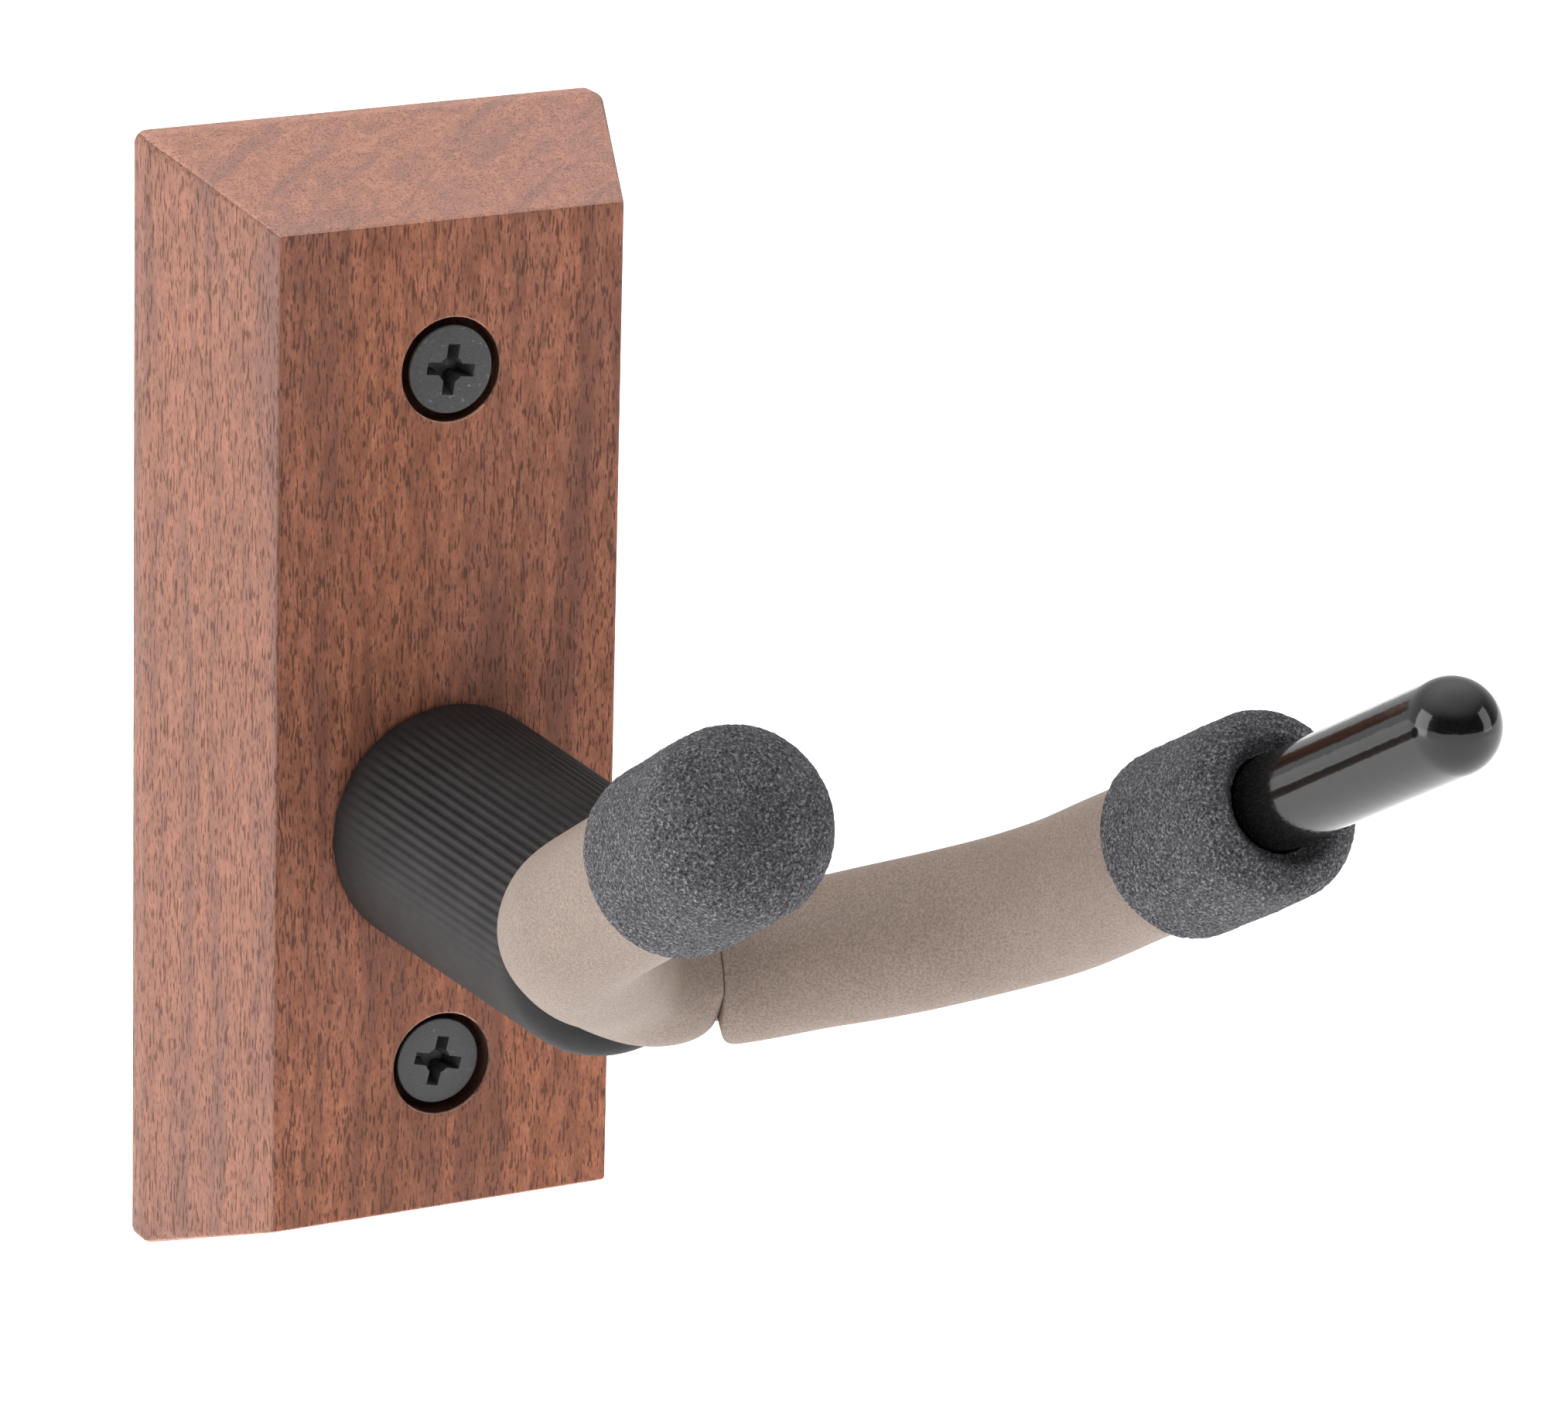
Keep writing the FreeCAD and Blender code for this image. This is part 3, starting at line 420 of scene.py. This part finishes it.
def make_tan_rubber():
    """Taupe rubber tube: matte, finely speckled, with faint blotches."""
    rubber = Finish("taupe_rubber", Roughness=0.62, Specular_IOR_Level=0.35)
    blotches = rubber.noise(0.12, 3.0, 0.6)
    grain = rubber.noise(4.5, 3.0, 0.8)
    specks = rubber.cells(0.9)
    base = rubber.mix(rubber.ramp(blotches, 0.3, 0.7), rgb(0.250, 0.190, 0.155), rgb(0.275, 0.210, 0.172))
    base = rubber.mix(rubber.ramp(grain, 0.4, 0.6, 0.0, 0.8), base, rgb(0.150, 0.113, 0.091))
    rubber.colour(rubber.mix(rubber.ramp(specks, 0.03, 0.09, 0.55, 0.0), base, rgb(0.42, 0.37, 0.33)))
    rubber.roughness(grain, 0.52, 0.7)
    rubber.bump((grain, 0.015))
    return rubber.material


def make_foam_material():
    """Charcoal cellular foam: fine open cells, with painted highlights on the grain's peaks, painted shade
    in its hollows and in the cell pits, and a few pale specks.
    """
    foam = Finish("charcoal_foam", Roughness=0.9, Specular_IOR_Level=0.25)
    cells = foam.cells(3.8)
    grain = foam.noise(3.6, 3.0, 0.85)
    patches = foam.noise(0.22, 3.0, 0.6)
    specks = foam.cells(0.55)
    base = foam.mix(foam.ramp(patches, 0.3, 0.7), rgb(0.096, 0.094, 0.103), rgb(0.130, 0.127, 0.139))
    # painted highlight: the grain's peaks are painted pale grey
    base = foam.mix(foam.ramp(grain, 0.50, 0.68), base, rgb(0.48, 0.47, 0.50))
    # painted shade: the grain's hollows are painted near black
    base = foam.mix(foam.ramp(grain, 0.36, 0.47, 0.9, 0.0), base, rgb(0.010, 0.010, 0.011))
    # painted shade in the pits of the cells
    base = foam.mix(foam.ramp(cells, 0.1, 0.5, 0.55, 0.0), base, rgb(0.02, 0.02, 0.022))
    foam.colour(foam.mix(foam.ramp(specks, 0.015, 0.05, 0.8, 0.0), base, rgb(0.72, 0.72, 0.74)))
    foam.roughness(grain, 0.8, 0.95)
    foam.bump((cells, 0.25), (grain, 0.45))
    return foam.material


def make_gloss_coating():
    """Black dipped vinyl, glossy, with a slightly uneven surface."""
    vinyl = Finish("gloss_dipped_vinyl", Roughness=0.1)
    waves = vinyl.noise(0.5, 2.0)
    dust = vinyl.noise(4.0, 2.0, 0.6)
    vinyl.colour(vinyl.mix(vinyl.ramp(dust, 0.4, 0.8), rgb(0.004, 0.0036, 0.0036), rgb(0.009, 0.008, 0.008)))
    vinyl.roughness(dust, 0.05, 0.15)
    vinyl.bump((waves, 0.02), (dust, 0.0015))
    return vinyl.material


# ---------------------------------------------------------------- block and screws

EASED_EDGE = 0.28 * MM
SAME_POINT = 0.001 * MM
FLAT = radians(0.5)
SHARP = radians(12)
SHADED_SHARP = radians(35)
SCREW_NODES = {"upper": "upper_mounting_screw", "lower": "lower_mounting_screw"}
SCREW_TURN = {"upper": radians(8), "lower": radians(14)}
COUNTERBORE_RADIUS = 5.0 * MM
SCREW_HEAD_RADIUS = 4.2 * MM
SCREW_SHANK_RADIUS = 1.75 * MM
SCREW_CORE_RADIUS = 1.4 * MM
SCREW_CREST_RADIUS = 2.1 * MM
SCREW_THREAD_LENGTH = 30.5 * MM
SCREW_POINT_LENGTH = 5.0 * MM
SCREW_PITCH = 2.6 * MM
SCREW_POINT_NECK = 1.2 * MM
THREAD_STEPS = 40
THREAD_HALF_FOOT = 0.28 * SCREW_PITCH
THREAD_HALF_CREST = 0.03 * MM
THREAD_SUNK = 0.05 * MM
HEAD_RIM = 0.14 * MM
HEAD_LAND = 0.3 * MM
HEAD_CONE = 2.8 * MM

# the cross recess: two tapered slots, as half-sizes at the head's face and at the floor, and a socket
RECESS_TOP = -0.2 * MM
RECESS_FLOOR = 2.3 * MM
SLOT_AT_FACE = (2.5 * MM, 0.62 * MM)
SLOT_AT_FLOOR = (1.6 * MM, 0.42 * MM)
SOCKET_AT_FACE = 1.3 * MM
SOCKET_AT_FLOOR = 0.85 * MM
SOCKET_POINT = 0.4 * MM


def eased_copy(name, node, width, edge_material):
    """A copy of a CAD node whose sharp outer edges are sanded round, in a material of their own."""
    edit = bmesh.new()
    edit.from_mesh(frame["nodes"][node].data)
    bmesh.ops.remove_doubles(edit, verts=edit.verts, dist=SAME_POINT)
    bmesh.ops.dissolve_limit(edit, angle_limit=FLAT, verts=edit.verts, edges=edit.edges)
    edges = [edge for edge in edit.edges
             if len(edge.link_faces) == 2 and edge.is_convex and edge.calc_face_angle() > SHARP]
    bmesh.ops.bevel(edit, geom=edges, offset=width, segments=3, profile=0.6,
                    affect="EDGES", clamp_overlap=True, material=edge_material)
    bmesh.ops.triangulate(edit, faces=[face for face in edit.faces if len(face.verts) > 4])
    mesh = bpy.data.meshes.new(name)
    edit.to_mesh(mesh)
    edit.free()
    piece = finished(mesh, name)
    mesh.set_sharp_from_angle(angle=SHADED_SHARP)
    return piece


def in_pocket(place, axes):
    """Whether a place on the block lies in a screw's hole or in the pocket of its head."""
    beside = min((Vector((place.x, place.z)) - axis).length for axis in axes)
    return beside < COUNTERBORE_RADIUS + EASED_EDGE and place.y > BLOCK_LOW.y + EASED_EDGE


def make_block():
    """The block, with a finish of its own on the eased edges, painted shade on the sides, painted light on
    the end-grain top and bottom, and painted shade in the screw bores.
    """
    number_of = {name: number for number, name in enumerate(WALNUT_FINISHES)}
    block = eased_copy("walnut_block", "wood_block", EASED_EDGE, number_of["walnut_sanded_edge"])
    face_material, *other_materials = [make_walnut(name) for name in WALNUT_FINISHES]
    stands_for(block, "mount", "walnut", face_material, "wood_block")
    for material in other_materials:
        block.data.materials.append(material)
    boxes = [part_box(node) for node in SCREW_NODES.values()]
    axes = [Vector((low.x + high.x, low.z + high.z)) / 2 for low, high in boxes]
    for face in block.data.polygons:
        # painted shade on the sides and painted light on the end-grain top and bottom, chosen by which way
        # each face turns
        if face.material_index == number_of["walnut"] and abs(face.normal.y) < 0.9:
            beside = abs(face.normal.x) > abs(face.normal.z)
            face.material_index = number_of["walnut_side_painted_shade" if beside else "walnut_end_grain_painted_light"]
        # painted shade: faces in the screw holes and head pockets get the near-black walnut
        if in_pocket(face.center, axes):
            face.material_index = number_of["walnut_bore_painted_shade"]


def box_between(name, low_half, high_half, low_y, high_y):
    """A tapered bar about the Y axis, from one half-size (x, z) to another."""
    corners = [(x * half[0], y, z * half[1])
               for half, y in ((low_half, low_y), (high_half, high_y))
               for x, z in ((-1, -1), (1, -1), (1, 1), (-1, 1))]
    faces = [(0, 1, 2, 3), (4, 5, 6, 7)]
    faces += [(side, (side + 1) % 4, 4 + (side + 1) % 4, 4 + side) for side in range(4)]
    mesh = bpy.data.meshes.new(name)
    mesh.from_pydata(corners, [], faces)
    return finished(mesh, name)


def cut_away(piece, cutters):
    """Take the cutters' volumes out of a piece and remove the cutters."""
    for cutter in cutters:
        modifier = piece.modifiers.new("cut", "BOOLEAN")
        modifier.operation = "DIFFERENCE"
        modifier.solver = "EXACT"
        modifier.object = cutter
    apply_modifiers(piece)
    for cutter in cutters:
        bpy.data.objects.remove(cutter)


def make_screw_thread(name, start, end):
    """A thread ridge about the Y axis that starts and ends flush with the core."""
    turns = (end - start) / SCREW_PITCH
    count = int(turns * THREAD_STEPS)
    corners, faces = [], []
    for number, share in enumerate(steps(0, 1, count)):
        angle = 2 * pi * turns * share
        along = start + (end - start) * share
        rise = min(1, share * 12, (1 - share) * 5)
        foot = SCREW_CORE_RADIUS * min(1, (end - along) / SCREW_POINT_LENGTH + 0.15) - THREAD_SUNK
        crest = foot + (SCREW_CREST_RADIUS - SCREW_CORE_RADIUS) * rise
        across = Vector((cos(angle), 0, sin(angle)))
        for radius, shift in ((foot, -THREAD_HALF_FOOT), (crest, -THREAD_HALF_CREST),
                              (crest, THREAD_HALF_CREST), (foot, THREAD_HALF_FOOT)):
            corners.append(across * radius + Vector((0, along + shift, 0)))
        if number:
            first = 4 * (number - 1)
            faces += [(first + side, first + (side + 1) % 4, first + 4 + (side + 1) % 4, first + 4 + side)
                      for side in range(4)]
    faces += [(0, 1, 2, 3), tuple(range(4 * count, 4 * count + 4))]
    mesh = bpy.data.meshes.new(name)
    mesh.from_pydata(corners, [], faces)
    return finished(mesh, name)


def join(first, other):
    """Add the other piece's mesh to the first piece."""
    with bpy.context.temp_override(active_object=first, selected_editable_objects=[first, other]):
        bpy.ops.object.join()


def make_screw(which, material):
    """A flat-head wood screw.  It is made about the Y axis with its head's face at y = 0."""
    node = SCREW_NODES[which]
    low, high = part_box(node)
    length = high.y - low.y
    thread_start = length - SCREW_THREAD_LENGTH
    profile = [(0, 0), (0, SCREW_HEAD_RADIUS * 0.55), (0, SCREW_HEAD_RADIUS - HEAD_RIM)]
    profile += arc_points((HEAD_RIM, SCREW_HEAD_RADIUS - HEAD_RIM), HEAD_RIM, pi, pi / 2, 4)
    profile += [(HEAD_LAND, SCREW_HEAD_RADIUS), (HEAD_LAND + HEAD_CONE, SCREW_SHANK_RADIUS),
                (thread_start, SCREW_SHANK_RADIUS), (thread_start + 0.6 * MM, SCREW_CORE_RADIUS),
                (length - SCREW_POINT_LENGTH, SCREW_CORE_RADIUS),
                (length - SCREW_POINT_NECK, SCREW_CORE_RADIUS * 0.5), (length, 0)]
    path = straight_path(Vector(), (0, 1, 0), (1, 0, 0))
    screw = skin(which + "_wood_screw", path, profile, 72)
    socket = [(RECESS_TOP, 0), (RECESS_TOP, SOCKET_AT_FACE), (RECESS_FLOOR, SOCKET_AT_FLOOR),
              (RECESS_FLOOR + SOCKET_POINT, 0)]
    cut_away(screw, [
        box_between("wide_slot", SLOT_AT_FACE, SLOT_AT_FLOOR, RECESS_TOP, RECESS_FLOOR),
        box_between("tall_slot", SLOT_AT_FACE[::-1], SLOT_AT_FLOOR[::-1], RECESS_TOP, RECESS_FLOOR),
        skin("socket", path, socket, 24),
    ])
    thread = make_screw_thread(which + "_thread", thread_start + 0.9 * MM, length - 0.6 * MM)
    join(screw, thread)
    screw.data.transform(Matrix.Rotation(SCREW_TURN[which], 4, "Y"))
    screw.data.transform(Matrix.Translation(((low.x + high.x) / 2, low.y, (low.z + high.z) / 2)))
    screw.data.set_sharp_from_angle(angle=radians(30))
    stands_for(screw, "mount", "black_screw", material, node)


# ---------------------------------------------------------------- stem cover

RIB_COUNT = 76
RIB_HEIGHT = 0.36 * MM
RIB_FADE = 7.0 * MM
COVER_REAR_RADIUS = 11.8 * MM
COVER_FRONT_RADIUS = 11.35 * MM
COVER_RIM = 3.0 * MM
COVER_LIP = 1.0 * MM
COVER_DISH = 1.6 * MM
STEM_RADIUS = 5.0 * MM
COVER_REAR_BORE = STEM_RADIUS + 4 * MM
COVER_REAR_EDGE = 0.3 * MM
RIB_STEPS = 8
RIB_SHARPNESS = 1.4
RIB_STRENGTH_BESIDE = 0.30
RIB_STRENGTH_BELOW = 0.03
RIM_FADE = 0.6 * COVER_RIM


def make_cover():
    """The ribbed rubber cover.  Its ribs fade at the wall end, over the front rim and underneath."""
    low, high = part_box("stem_cover")
    length = high.y - low.y
    path = straight_path(Vector((STEM_AXIS.x, high.y, STEM_AXIS.z)), (0, -1, 0), (0, 0, 1))
    lip = COVER_FRONT_RADIUS - COVER_RIM

    def side_radius(distance):
        return COVER_REAR_RADIUS + (COVER_FRONT_RADIUS - COVER_REAR_RADIUS) * distance / length

    def ribbed(distance, angle, radius):
        if radius < lip:
            return radius
        strength = min(1, max(RIB_STRENGTH_BELOW, RIB_STRENGTH_BESIDE + cos(angle)))
        strength *= min(1, distance / RIB_FADE) * min(1, (radius - lip) / RIM_FADE)
        wave = (0.5 - 0.5 * cos(RIB_COUNT * angle)) ** RIB_SHARPNESS
        return radius - RIB_HEIGHT * strength * wave

    profile = [(1.0 * MM, COVER_REAR_BORE), (0, COVER_REAR_BORE), (0, COVER_REAR_RADIUS - COVER_REAR_EDGE)]
    profile += [(distance, side_radius(distance))
                for distance in steps(COVER_REAR_EDGE, length - COVER_RIM, 40)]
    profile += arc_points((length - COVER_RIM, lip), COVER_RIM, pi / 2, 0, 10)[1:]
    profile += [(length, lip - COVER_LIP * 0.5), (length - 0.15 * MM, lip - COVER_LIP)]
    for share in steps(0.15, 1, 8):
        depth = COVER_DISH * (share * share * (3 - 2 * share))
        profile.append((length - depth, lip - COVER_LIP + (STEM_RADIUS - lip + COVER_LIP) * share))
    profile.append((length - COVER_DISH - 2 * MM, STEM_RADIUS))
    cover = skin("ribbed_stem_cover", path, profile, RIB_COUNT * RIB_STEPS, ribbed)
    stands_for(cover, "yoke", "black_rubber", make_black_rubber(), "stem_cover")


# ---------------------------------------------------------------- sleeves

SLEEVE_STEP = 0.45 * MM
SLEEVE_MOUTH = 3 * MM
SLEEVE_RIPPLE = 0.10 * MM
RIPPLE_LENGTH = 9 * MM
NOTCH_RADIUS = SLEEVE_BORE + 1.4 * MM
NOTCH_LENGTH = 12 * MM

# how each sleeve sits at the middle bend, by side: 1 is right and -1 is left
INNER_START = {1: 2.33 * MM, -1: -2.3 * MM}
LEAN_OUT = {1: 10 * MM, -1: 0.4 * MM}
PULLED_LENGTH = {1: 0, -1: 8 * MM}
TAUT_DEPTH = {1: 0.35 * MM, -1: 1.35 * MM}
LIFT = {1: 0.45 * MM, -1: 0.08 * MM}

LEAN_LIMIT = 3.2 * MM
LEAN_SHARPNESS = 2.6
LEAN_WIDTH = 6 * MM
LIFT_WIDTH = 20 * MM
TAUT_TURN = radians(50)
TAUT_MIDDLE = 10 * MM
TAUT_WIDTH = 8.5 * MM
PULLED_TURN = radians(65)
PULLED_WALL = 0.1 * MM


def hump(value, middle, width):
    """A smooth bump of height 1 at the middle."""
    return exp(-((value - middle) / width) ** 2)


def make_stem_notch():
    """The room that the stem takes out of a sleeve: a bar along the stem, up to the yoke's middle."""
    rear = Vector((0, BLOCK_LOW.y - YOKE_REACH + NOTCH_LENGTH, STEM_AXIS.z))
    profile = [(0, 0), (0, NOTCH_RADIUS), (NOTCH_LENGTH, NOTCH_RADIUS), (NOTCH_LENGTH, 0)]
    return skin("stem_notch", straight_path(rear, (0, -1, 0), (1, 0, 0)), profile, 96)


def make_sleeve(side, start, material):
    """A rubber sleeve on one half of the bent rod.

    The rubber is taut on the outside of the bend and sits a little high on the rod.  The two
    sleeves meet on the inside of the bend.  On the outside the right one's end leans away, and
    the left one's end is pulled round.
    """
    name = "right_rubber_sleeve" if side > 0 else "left_rubber_sleeve"
    node = "right_arm_sleeve" if side > 0 else "left_arm_sleeve"
    end = FOAM_START + FOAM_OVERLAP
    count = int((end - start) / SLEEVE_STEP)
    profile = [(start + SLEEVE_MOUTH, SLEEVE_BORE), (start, SLEEVE_BORE)]
    profile += arc_points((start + SLEEVE_EDGE, SLEEVE_RADIUS - SLEEVE_EDGE), SLEEVE_EDGE, pi, pi / 2, 5)
    profile += [(distance, SLEEVE_RADIUS) for distance in steps(start + 2 * SLEEVE_EDGE, end, count)]
    profile += [(end, SLEEVE_BORE)]

    def lean_at_end(distance, angle, radius):
        apart = min(LEAN_OUT[side] * (0.5 + 0.5 * cos(angle)) ** LEAN_SHARPNESS, LEAN_LIMIT)
        return (INNER_START[side] - start + apart) * hump(distance, start, LEAN_WIDTH)

    def settled(distance, angle, radius):
        if radius < SLEEVE_RADIUS - SLEEVE_EDGE:
            return radius
        point = Vector((distance / RIPPLE_LENGTH, 1.3 * cos(angle), 1.3 * sin(angle) + 7 * side))
        radius += SLEEVE_RIPPLE * noise.noise(point)
        radius += LIFT[side] * side * sin(angle) * hump(distance, 0, LIFT_WIDTH)
        taut = max(0, cos(angle + side * TAUT_TURN))
        radius -= TAUT_DEPTH[side] * taut * hump(distance, TAUT_MIDDLE, TAUT_WIDTH)
        from_end = distance - start
        if 0 <= from_end < PULLED_LENGTH[side]:
            rounded = 1 - (1 - from_end / PULLED_LENGTH[side]) ** 2
            low_side = max(0, cos(angle - PULLED_TURN)) ** 0.7
            radius -= low_side * (radius - SLEEVE_BORE - PULLED_WALL) * (1 - sqrt(rounded))
        return radius

    sleeve = skin(name, yoke_path(side), profile, 128, settled, lean_at_end)
    cut_away(sleeve, [make_stem_notch()])
    stands_for(sleeve, "yoke", "tan_rubber", material, node)


# ---------------------------------------------------------------- foam ends and peg

FOAM_STEP = 0.22 * MM
FOAM_GRAIN = 0.07 * MM
FOAM_SWELL = 0.10 * MM
FOAM_REAR_EDGE = 0.45 * MM
CAP_ROUNDING = 4.4 * MM
CAP_DIMPLE = 0.9 * MM
COLLAR_ROUNDING = 2.4 * MM
MOUTH_RADIUS = PEG_RADIUS + 0.1 * MM
MOUTH_LENGTH = 4 * MM
PEG_OVERLAP = 1.9 * MM
PEG_SWELL = 0.06 * MM
PEG_STEP_IN = 0.25 * MM


def grainy(distance, angle, radius):
    """The uneven cut surface of the foam: a slow swell and fine cells."""
    around = Vector((radius * cos(angle), radius * sin(angle), distance)) / MM
    swell = FOAM_SWELL * noise.noise(around * 0.22)
    grain = FOAM_GRAIN * (noise.noise(around * 1.9) + 0.8 * noise.noise(around * 3.7))
    return radius + swell + grain


def make_foam(name, node, side, profile, material):
    foam = skin(name, yoke_path(side), profile, 288, grainy)
    stands_for(foam, "yoke", "charcoal_foam", material, node)


def foam_side(front, rounding):
    """The foam's rear edge and side, up to where the front edge starts to round."""
    edge = FOAM_REAR_EDGE
    profile = [(FOAM_START + FOAM_OVERLAP, SLEEVE_RADIUS), (FOAM_START, SLEEVE_RADIUS - 0.05 * MM)]
    profile += arc_points((FOAM_START + edge, FOAM_RADIUS - edge), edge, pi, pi / 2, 5)
    count = int((front - rounding - FOAM_START) / FOAM_STEP)
    return profile + [(distance, FOAM_RADIUS)
                      for distance in steps(FOAM_START + 1.2 * MM, front - rounding, count)]


def make_foam_cap(material):
    """The closed end on the left arm, round at the front with a shallow dimple."""
    profile = foam_side(CAP_END, CAP_ROUNDING)
    flat = FOAM_RADIUS - CAP_ROUNDING
    profile += arc_points((CAP_END - CAP_ROUNDING, flat), CAP_ROUNDING, pi / 2, 0, 30)[1:]
    for radius in steps(flat, 0.15 * MM, 18)[1:]:
        share = 1 - (radius / flat) ** 2
        profile.append((CAP_END - CAP_DIMPLE * share * share, radius))
    profile.append((CAP_END - CAP_DIMPLE, 0))
    make_foam("left_foam_end", "left_foam_cap", -1, profile, material)


def make_foam_collar(material):
    """The open end on the right arm, dished round the peg that runs through it."""
    profile = foam_side(COLLAR_END, COLLAR_ROUNDING)
    lip = FOAM_RADIUS - COLLAR_ROUNDING
    profile += arc_points((COLLAR_END - COLLAR_ROUNDING, lip), COLLAR_ROUNDING, pi / 2, 0, 24)[1:]
    for share in steps(0, 1, 12)[1:]:
        sunk = MOUTH_DEPTH * (0.5 - 0.5 * cos(pi * share))
        profile.append((COLLAR_END - sunk, lip + (MOUTH_RADIUS - lip) * share))
    profile.append((COLLAR_END - MOUTH_LENGTH, MOUTH_RADIUS))
    make_foam("right_foam_end", "right_foam_collar", 1, profile, material)


def make_peg():
    """The dipped end of the rod, a little thicker towards its round tip."""
    start = COLLAR_END - PEG_OVERLAP
    tip = PEG_END - PEG_RADIUS
    profile = [(start + 1 * MM, PEG_RADIUS - PEG_STEP_IN), (start, PEG_RADIUS - PEG_STEP_IN)]
    for share in steps(0, 1, 60):
        profile.append((start + 0.2 * MM + (tip - start - 0.2 * MM) * share,
                        PEG_RADIUS - PEG_SWELL + PEG_SWELL * share * share))
    profile += arc_points((tip, 0), PEG_RADIUS, pi / 2, 0, 24)[1:-1]
    profile.append((PEG_END, 0))
    peg = skin("dipped_peg", yoke_path(1), profile, 128)
    stands_for(peg, "yoke", "gloss_coating", make_gloss_coating(), "peg_coating")


# ---------------------------------------------------------------- CAD nodes that keep their shape

def finish_cad_nodes():
    """Materials for the steel, zinc and nylon pieces that the CAD shape already shows well."""
    black, zinc, nylon = make_black_steel(), make_zinc_steel(), make_nylon()
    for material, nodes in ((black, ("yoke_rod", "stem_shaft")),
                            (zinc, ("rear_washer", "spring_washer", "thrust_washer", "lock_nut")),
                            (nylon, ("stem_bush", "lock_nut_insert"))):
        for node in nodes:
            mesh = frame["nodes"][node].data
            mesh.materials.clear()
            mesh.materials.append(material)


# ---------------------------------------------------------------- studio

# in metres
STUDIO_CENTRE = (0, -0.06, 0)
FLOOR_DROP = 0.16
FLOOR_SIZE = 100


def aimed(obj, place, target):
    """Put an object in the scene at a place, looking at a target."""
    obj.location = place
    obj.rotation_mode = "QUATERNION"
    obj.rotation_quaternion = (Vector(target) - Vector(place)).to_track_quat("-Z", "Y")
    bpy.context.scene.collection.objects.link(obj)


def make_light(name, place, target, width, height, watts):
    light = bpy.data.lights.new(name, "AREA")
    light.shape = "RECTANGLE"
    light.size, light.size_y = width, height
    light.energy = watts
    aimed(bpy.data.objects.new(name, light), place, target)


def make_world():
    """A white tent of light: bright overhead, behind and beside, dim on the side of the camera."""
    world = bpy.data.worlds.new("studio")
    bpy.context.scene.world = world
    world.use_nodes = True
    nodes, links = world.node_tree.nodes, world.node_tree.links
    direction = nodes.new("ShaderNodeSeparateXYZ")
    links.new(nodes.new("ShaderNodeTexCoord").outputs["Generated"], direction.inputs[0])
    glow = []
    # along each axis the light grows from dim to bright between two directions
    for axis, low, high, dim, bright in (("Y", -0.55, 0.7, 0.05, 0.9), ("Z", 0.45, 1.0, 0.0, 1.15)):
        part = nodes.new("ShaderNodeMapRange")
        part.interpolation_type = "SMOOTHSTEP"
        links.new(direction.outputs[axis], part.inputs["Value"])
        for socket, value in (("From Min", low), ("From Max", high), ("To Min", dim), ("To Max", bright)):
            part.inputs[socket].default_value = value
        glow.append(part.outputs["Result"])
    total = nodes.new("ShaderNodeMath")
    links.new(glow[0], total.inputs[0])
    links.new(glow[1], total.inputs[1])
    background = nodes["Background"]
    background.inputs["Color"].default_value = rgb(1.0, 1.0, 1.0)
    links.new(total.outputs[0], background.inputs["Strength"])


def make_studio():
    make_light("left_softbox", (-1.0, 0.15, 0.2), STUDIO_CENTRE, width=0.7, height=0.9, watts=7)
    make_light("right_softbox", (0.95, -0.75, 0.35), STUDIO_CENTRE, width=0.5, height=0.8, watts=3)
    make_world()
    bpy.ops.mesh.primitive_plane_add(size=FLOOR_SIZE, location=(0, 0, BLOCK_LOW.z - FLOOR_DROP))
    floor = bpy.context.object
    floor.name = "floor"
    pale = bpy.data.materials.new("pale_floor")
    pale.use_nodes = True
    surface = pale.node_tree.nodes["Principled BSDF"]
    surface.inputs["Base Color"].default_value = rgb(0.93, 0.93, 0.93)
    surface.inputs["Roughness"].default_value = 0.9
    surface.inputs["Emission Color"].default_value = rgb(1.0, 1.0, 1.0)
    surface.inputs["Emission Strength"].default_value = 0.8
    floor.data.materials.append(pale)
    bpy.context.scene.view_settings.view_transform = "Standard"


# the camera's place by its bearing, its height angle and its distance from where it aims
CAMERA_AIM = Vector((45.869, 0, -9.617)) * MM
CAMERA_BEARING = radians(-28.176)
CAMERA_RISE = radians(17.576)
CAMERA_ROLL = radians(1.516)
CAMERA_DISTANCE = 823.39 * MM
CAMERA_LENS = 192.75
CAMERA_SENSOR_WIDTH = 36


def make_camera():
    data = bpy.data.cameras.new("camera")
    data.sensor_width = CAMERA_SENSOR_WIDTH
    data.lens = CAMERA_LENS
    camera = bpy.data.objects.new("camera", data)
    back = Vector((sin(CAMERA_BEARING) * cos(CAMERA_RISE), -cos(CAMERA_BEARING) * cos(CAMERA_RISE),
                   sin(CAMERA_RISE)))
    level = (-back).to_track_quat("-Z", "Y").to_matrix().to_4x4()
    camera.matrix_world = (Matrix.Translation(CAMERA_AIM + back * CAMERA_DISTANCE) @ level
                           @ Matrix.Rotation(CAMERA_ROLL, 4, "Z"))
    bpy.context.scene.collection.objects.link(camera)
    bpy.context.scene.camera = camera


make_block()
screw_material = make_black_screw()
for which in SCREW_NODES:
    make_screw(which, screw_material)
make_cover()
sleeve_material = make_tan_rubber()
make_sleeve(-1, LEFT_SLEEVE_START, sleeve_material)
make_sleeve(1, RIGHT_SLEEVE_START, sleeve_material)
foam_material = make_foam_material()
make_foam_cap(foam_material)
make_foam_collar(foam_material)
make_peg()
finish_cad_nodes()
make_studio()
make_camera()
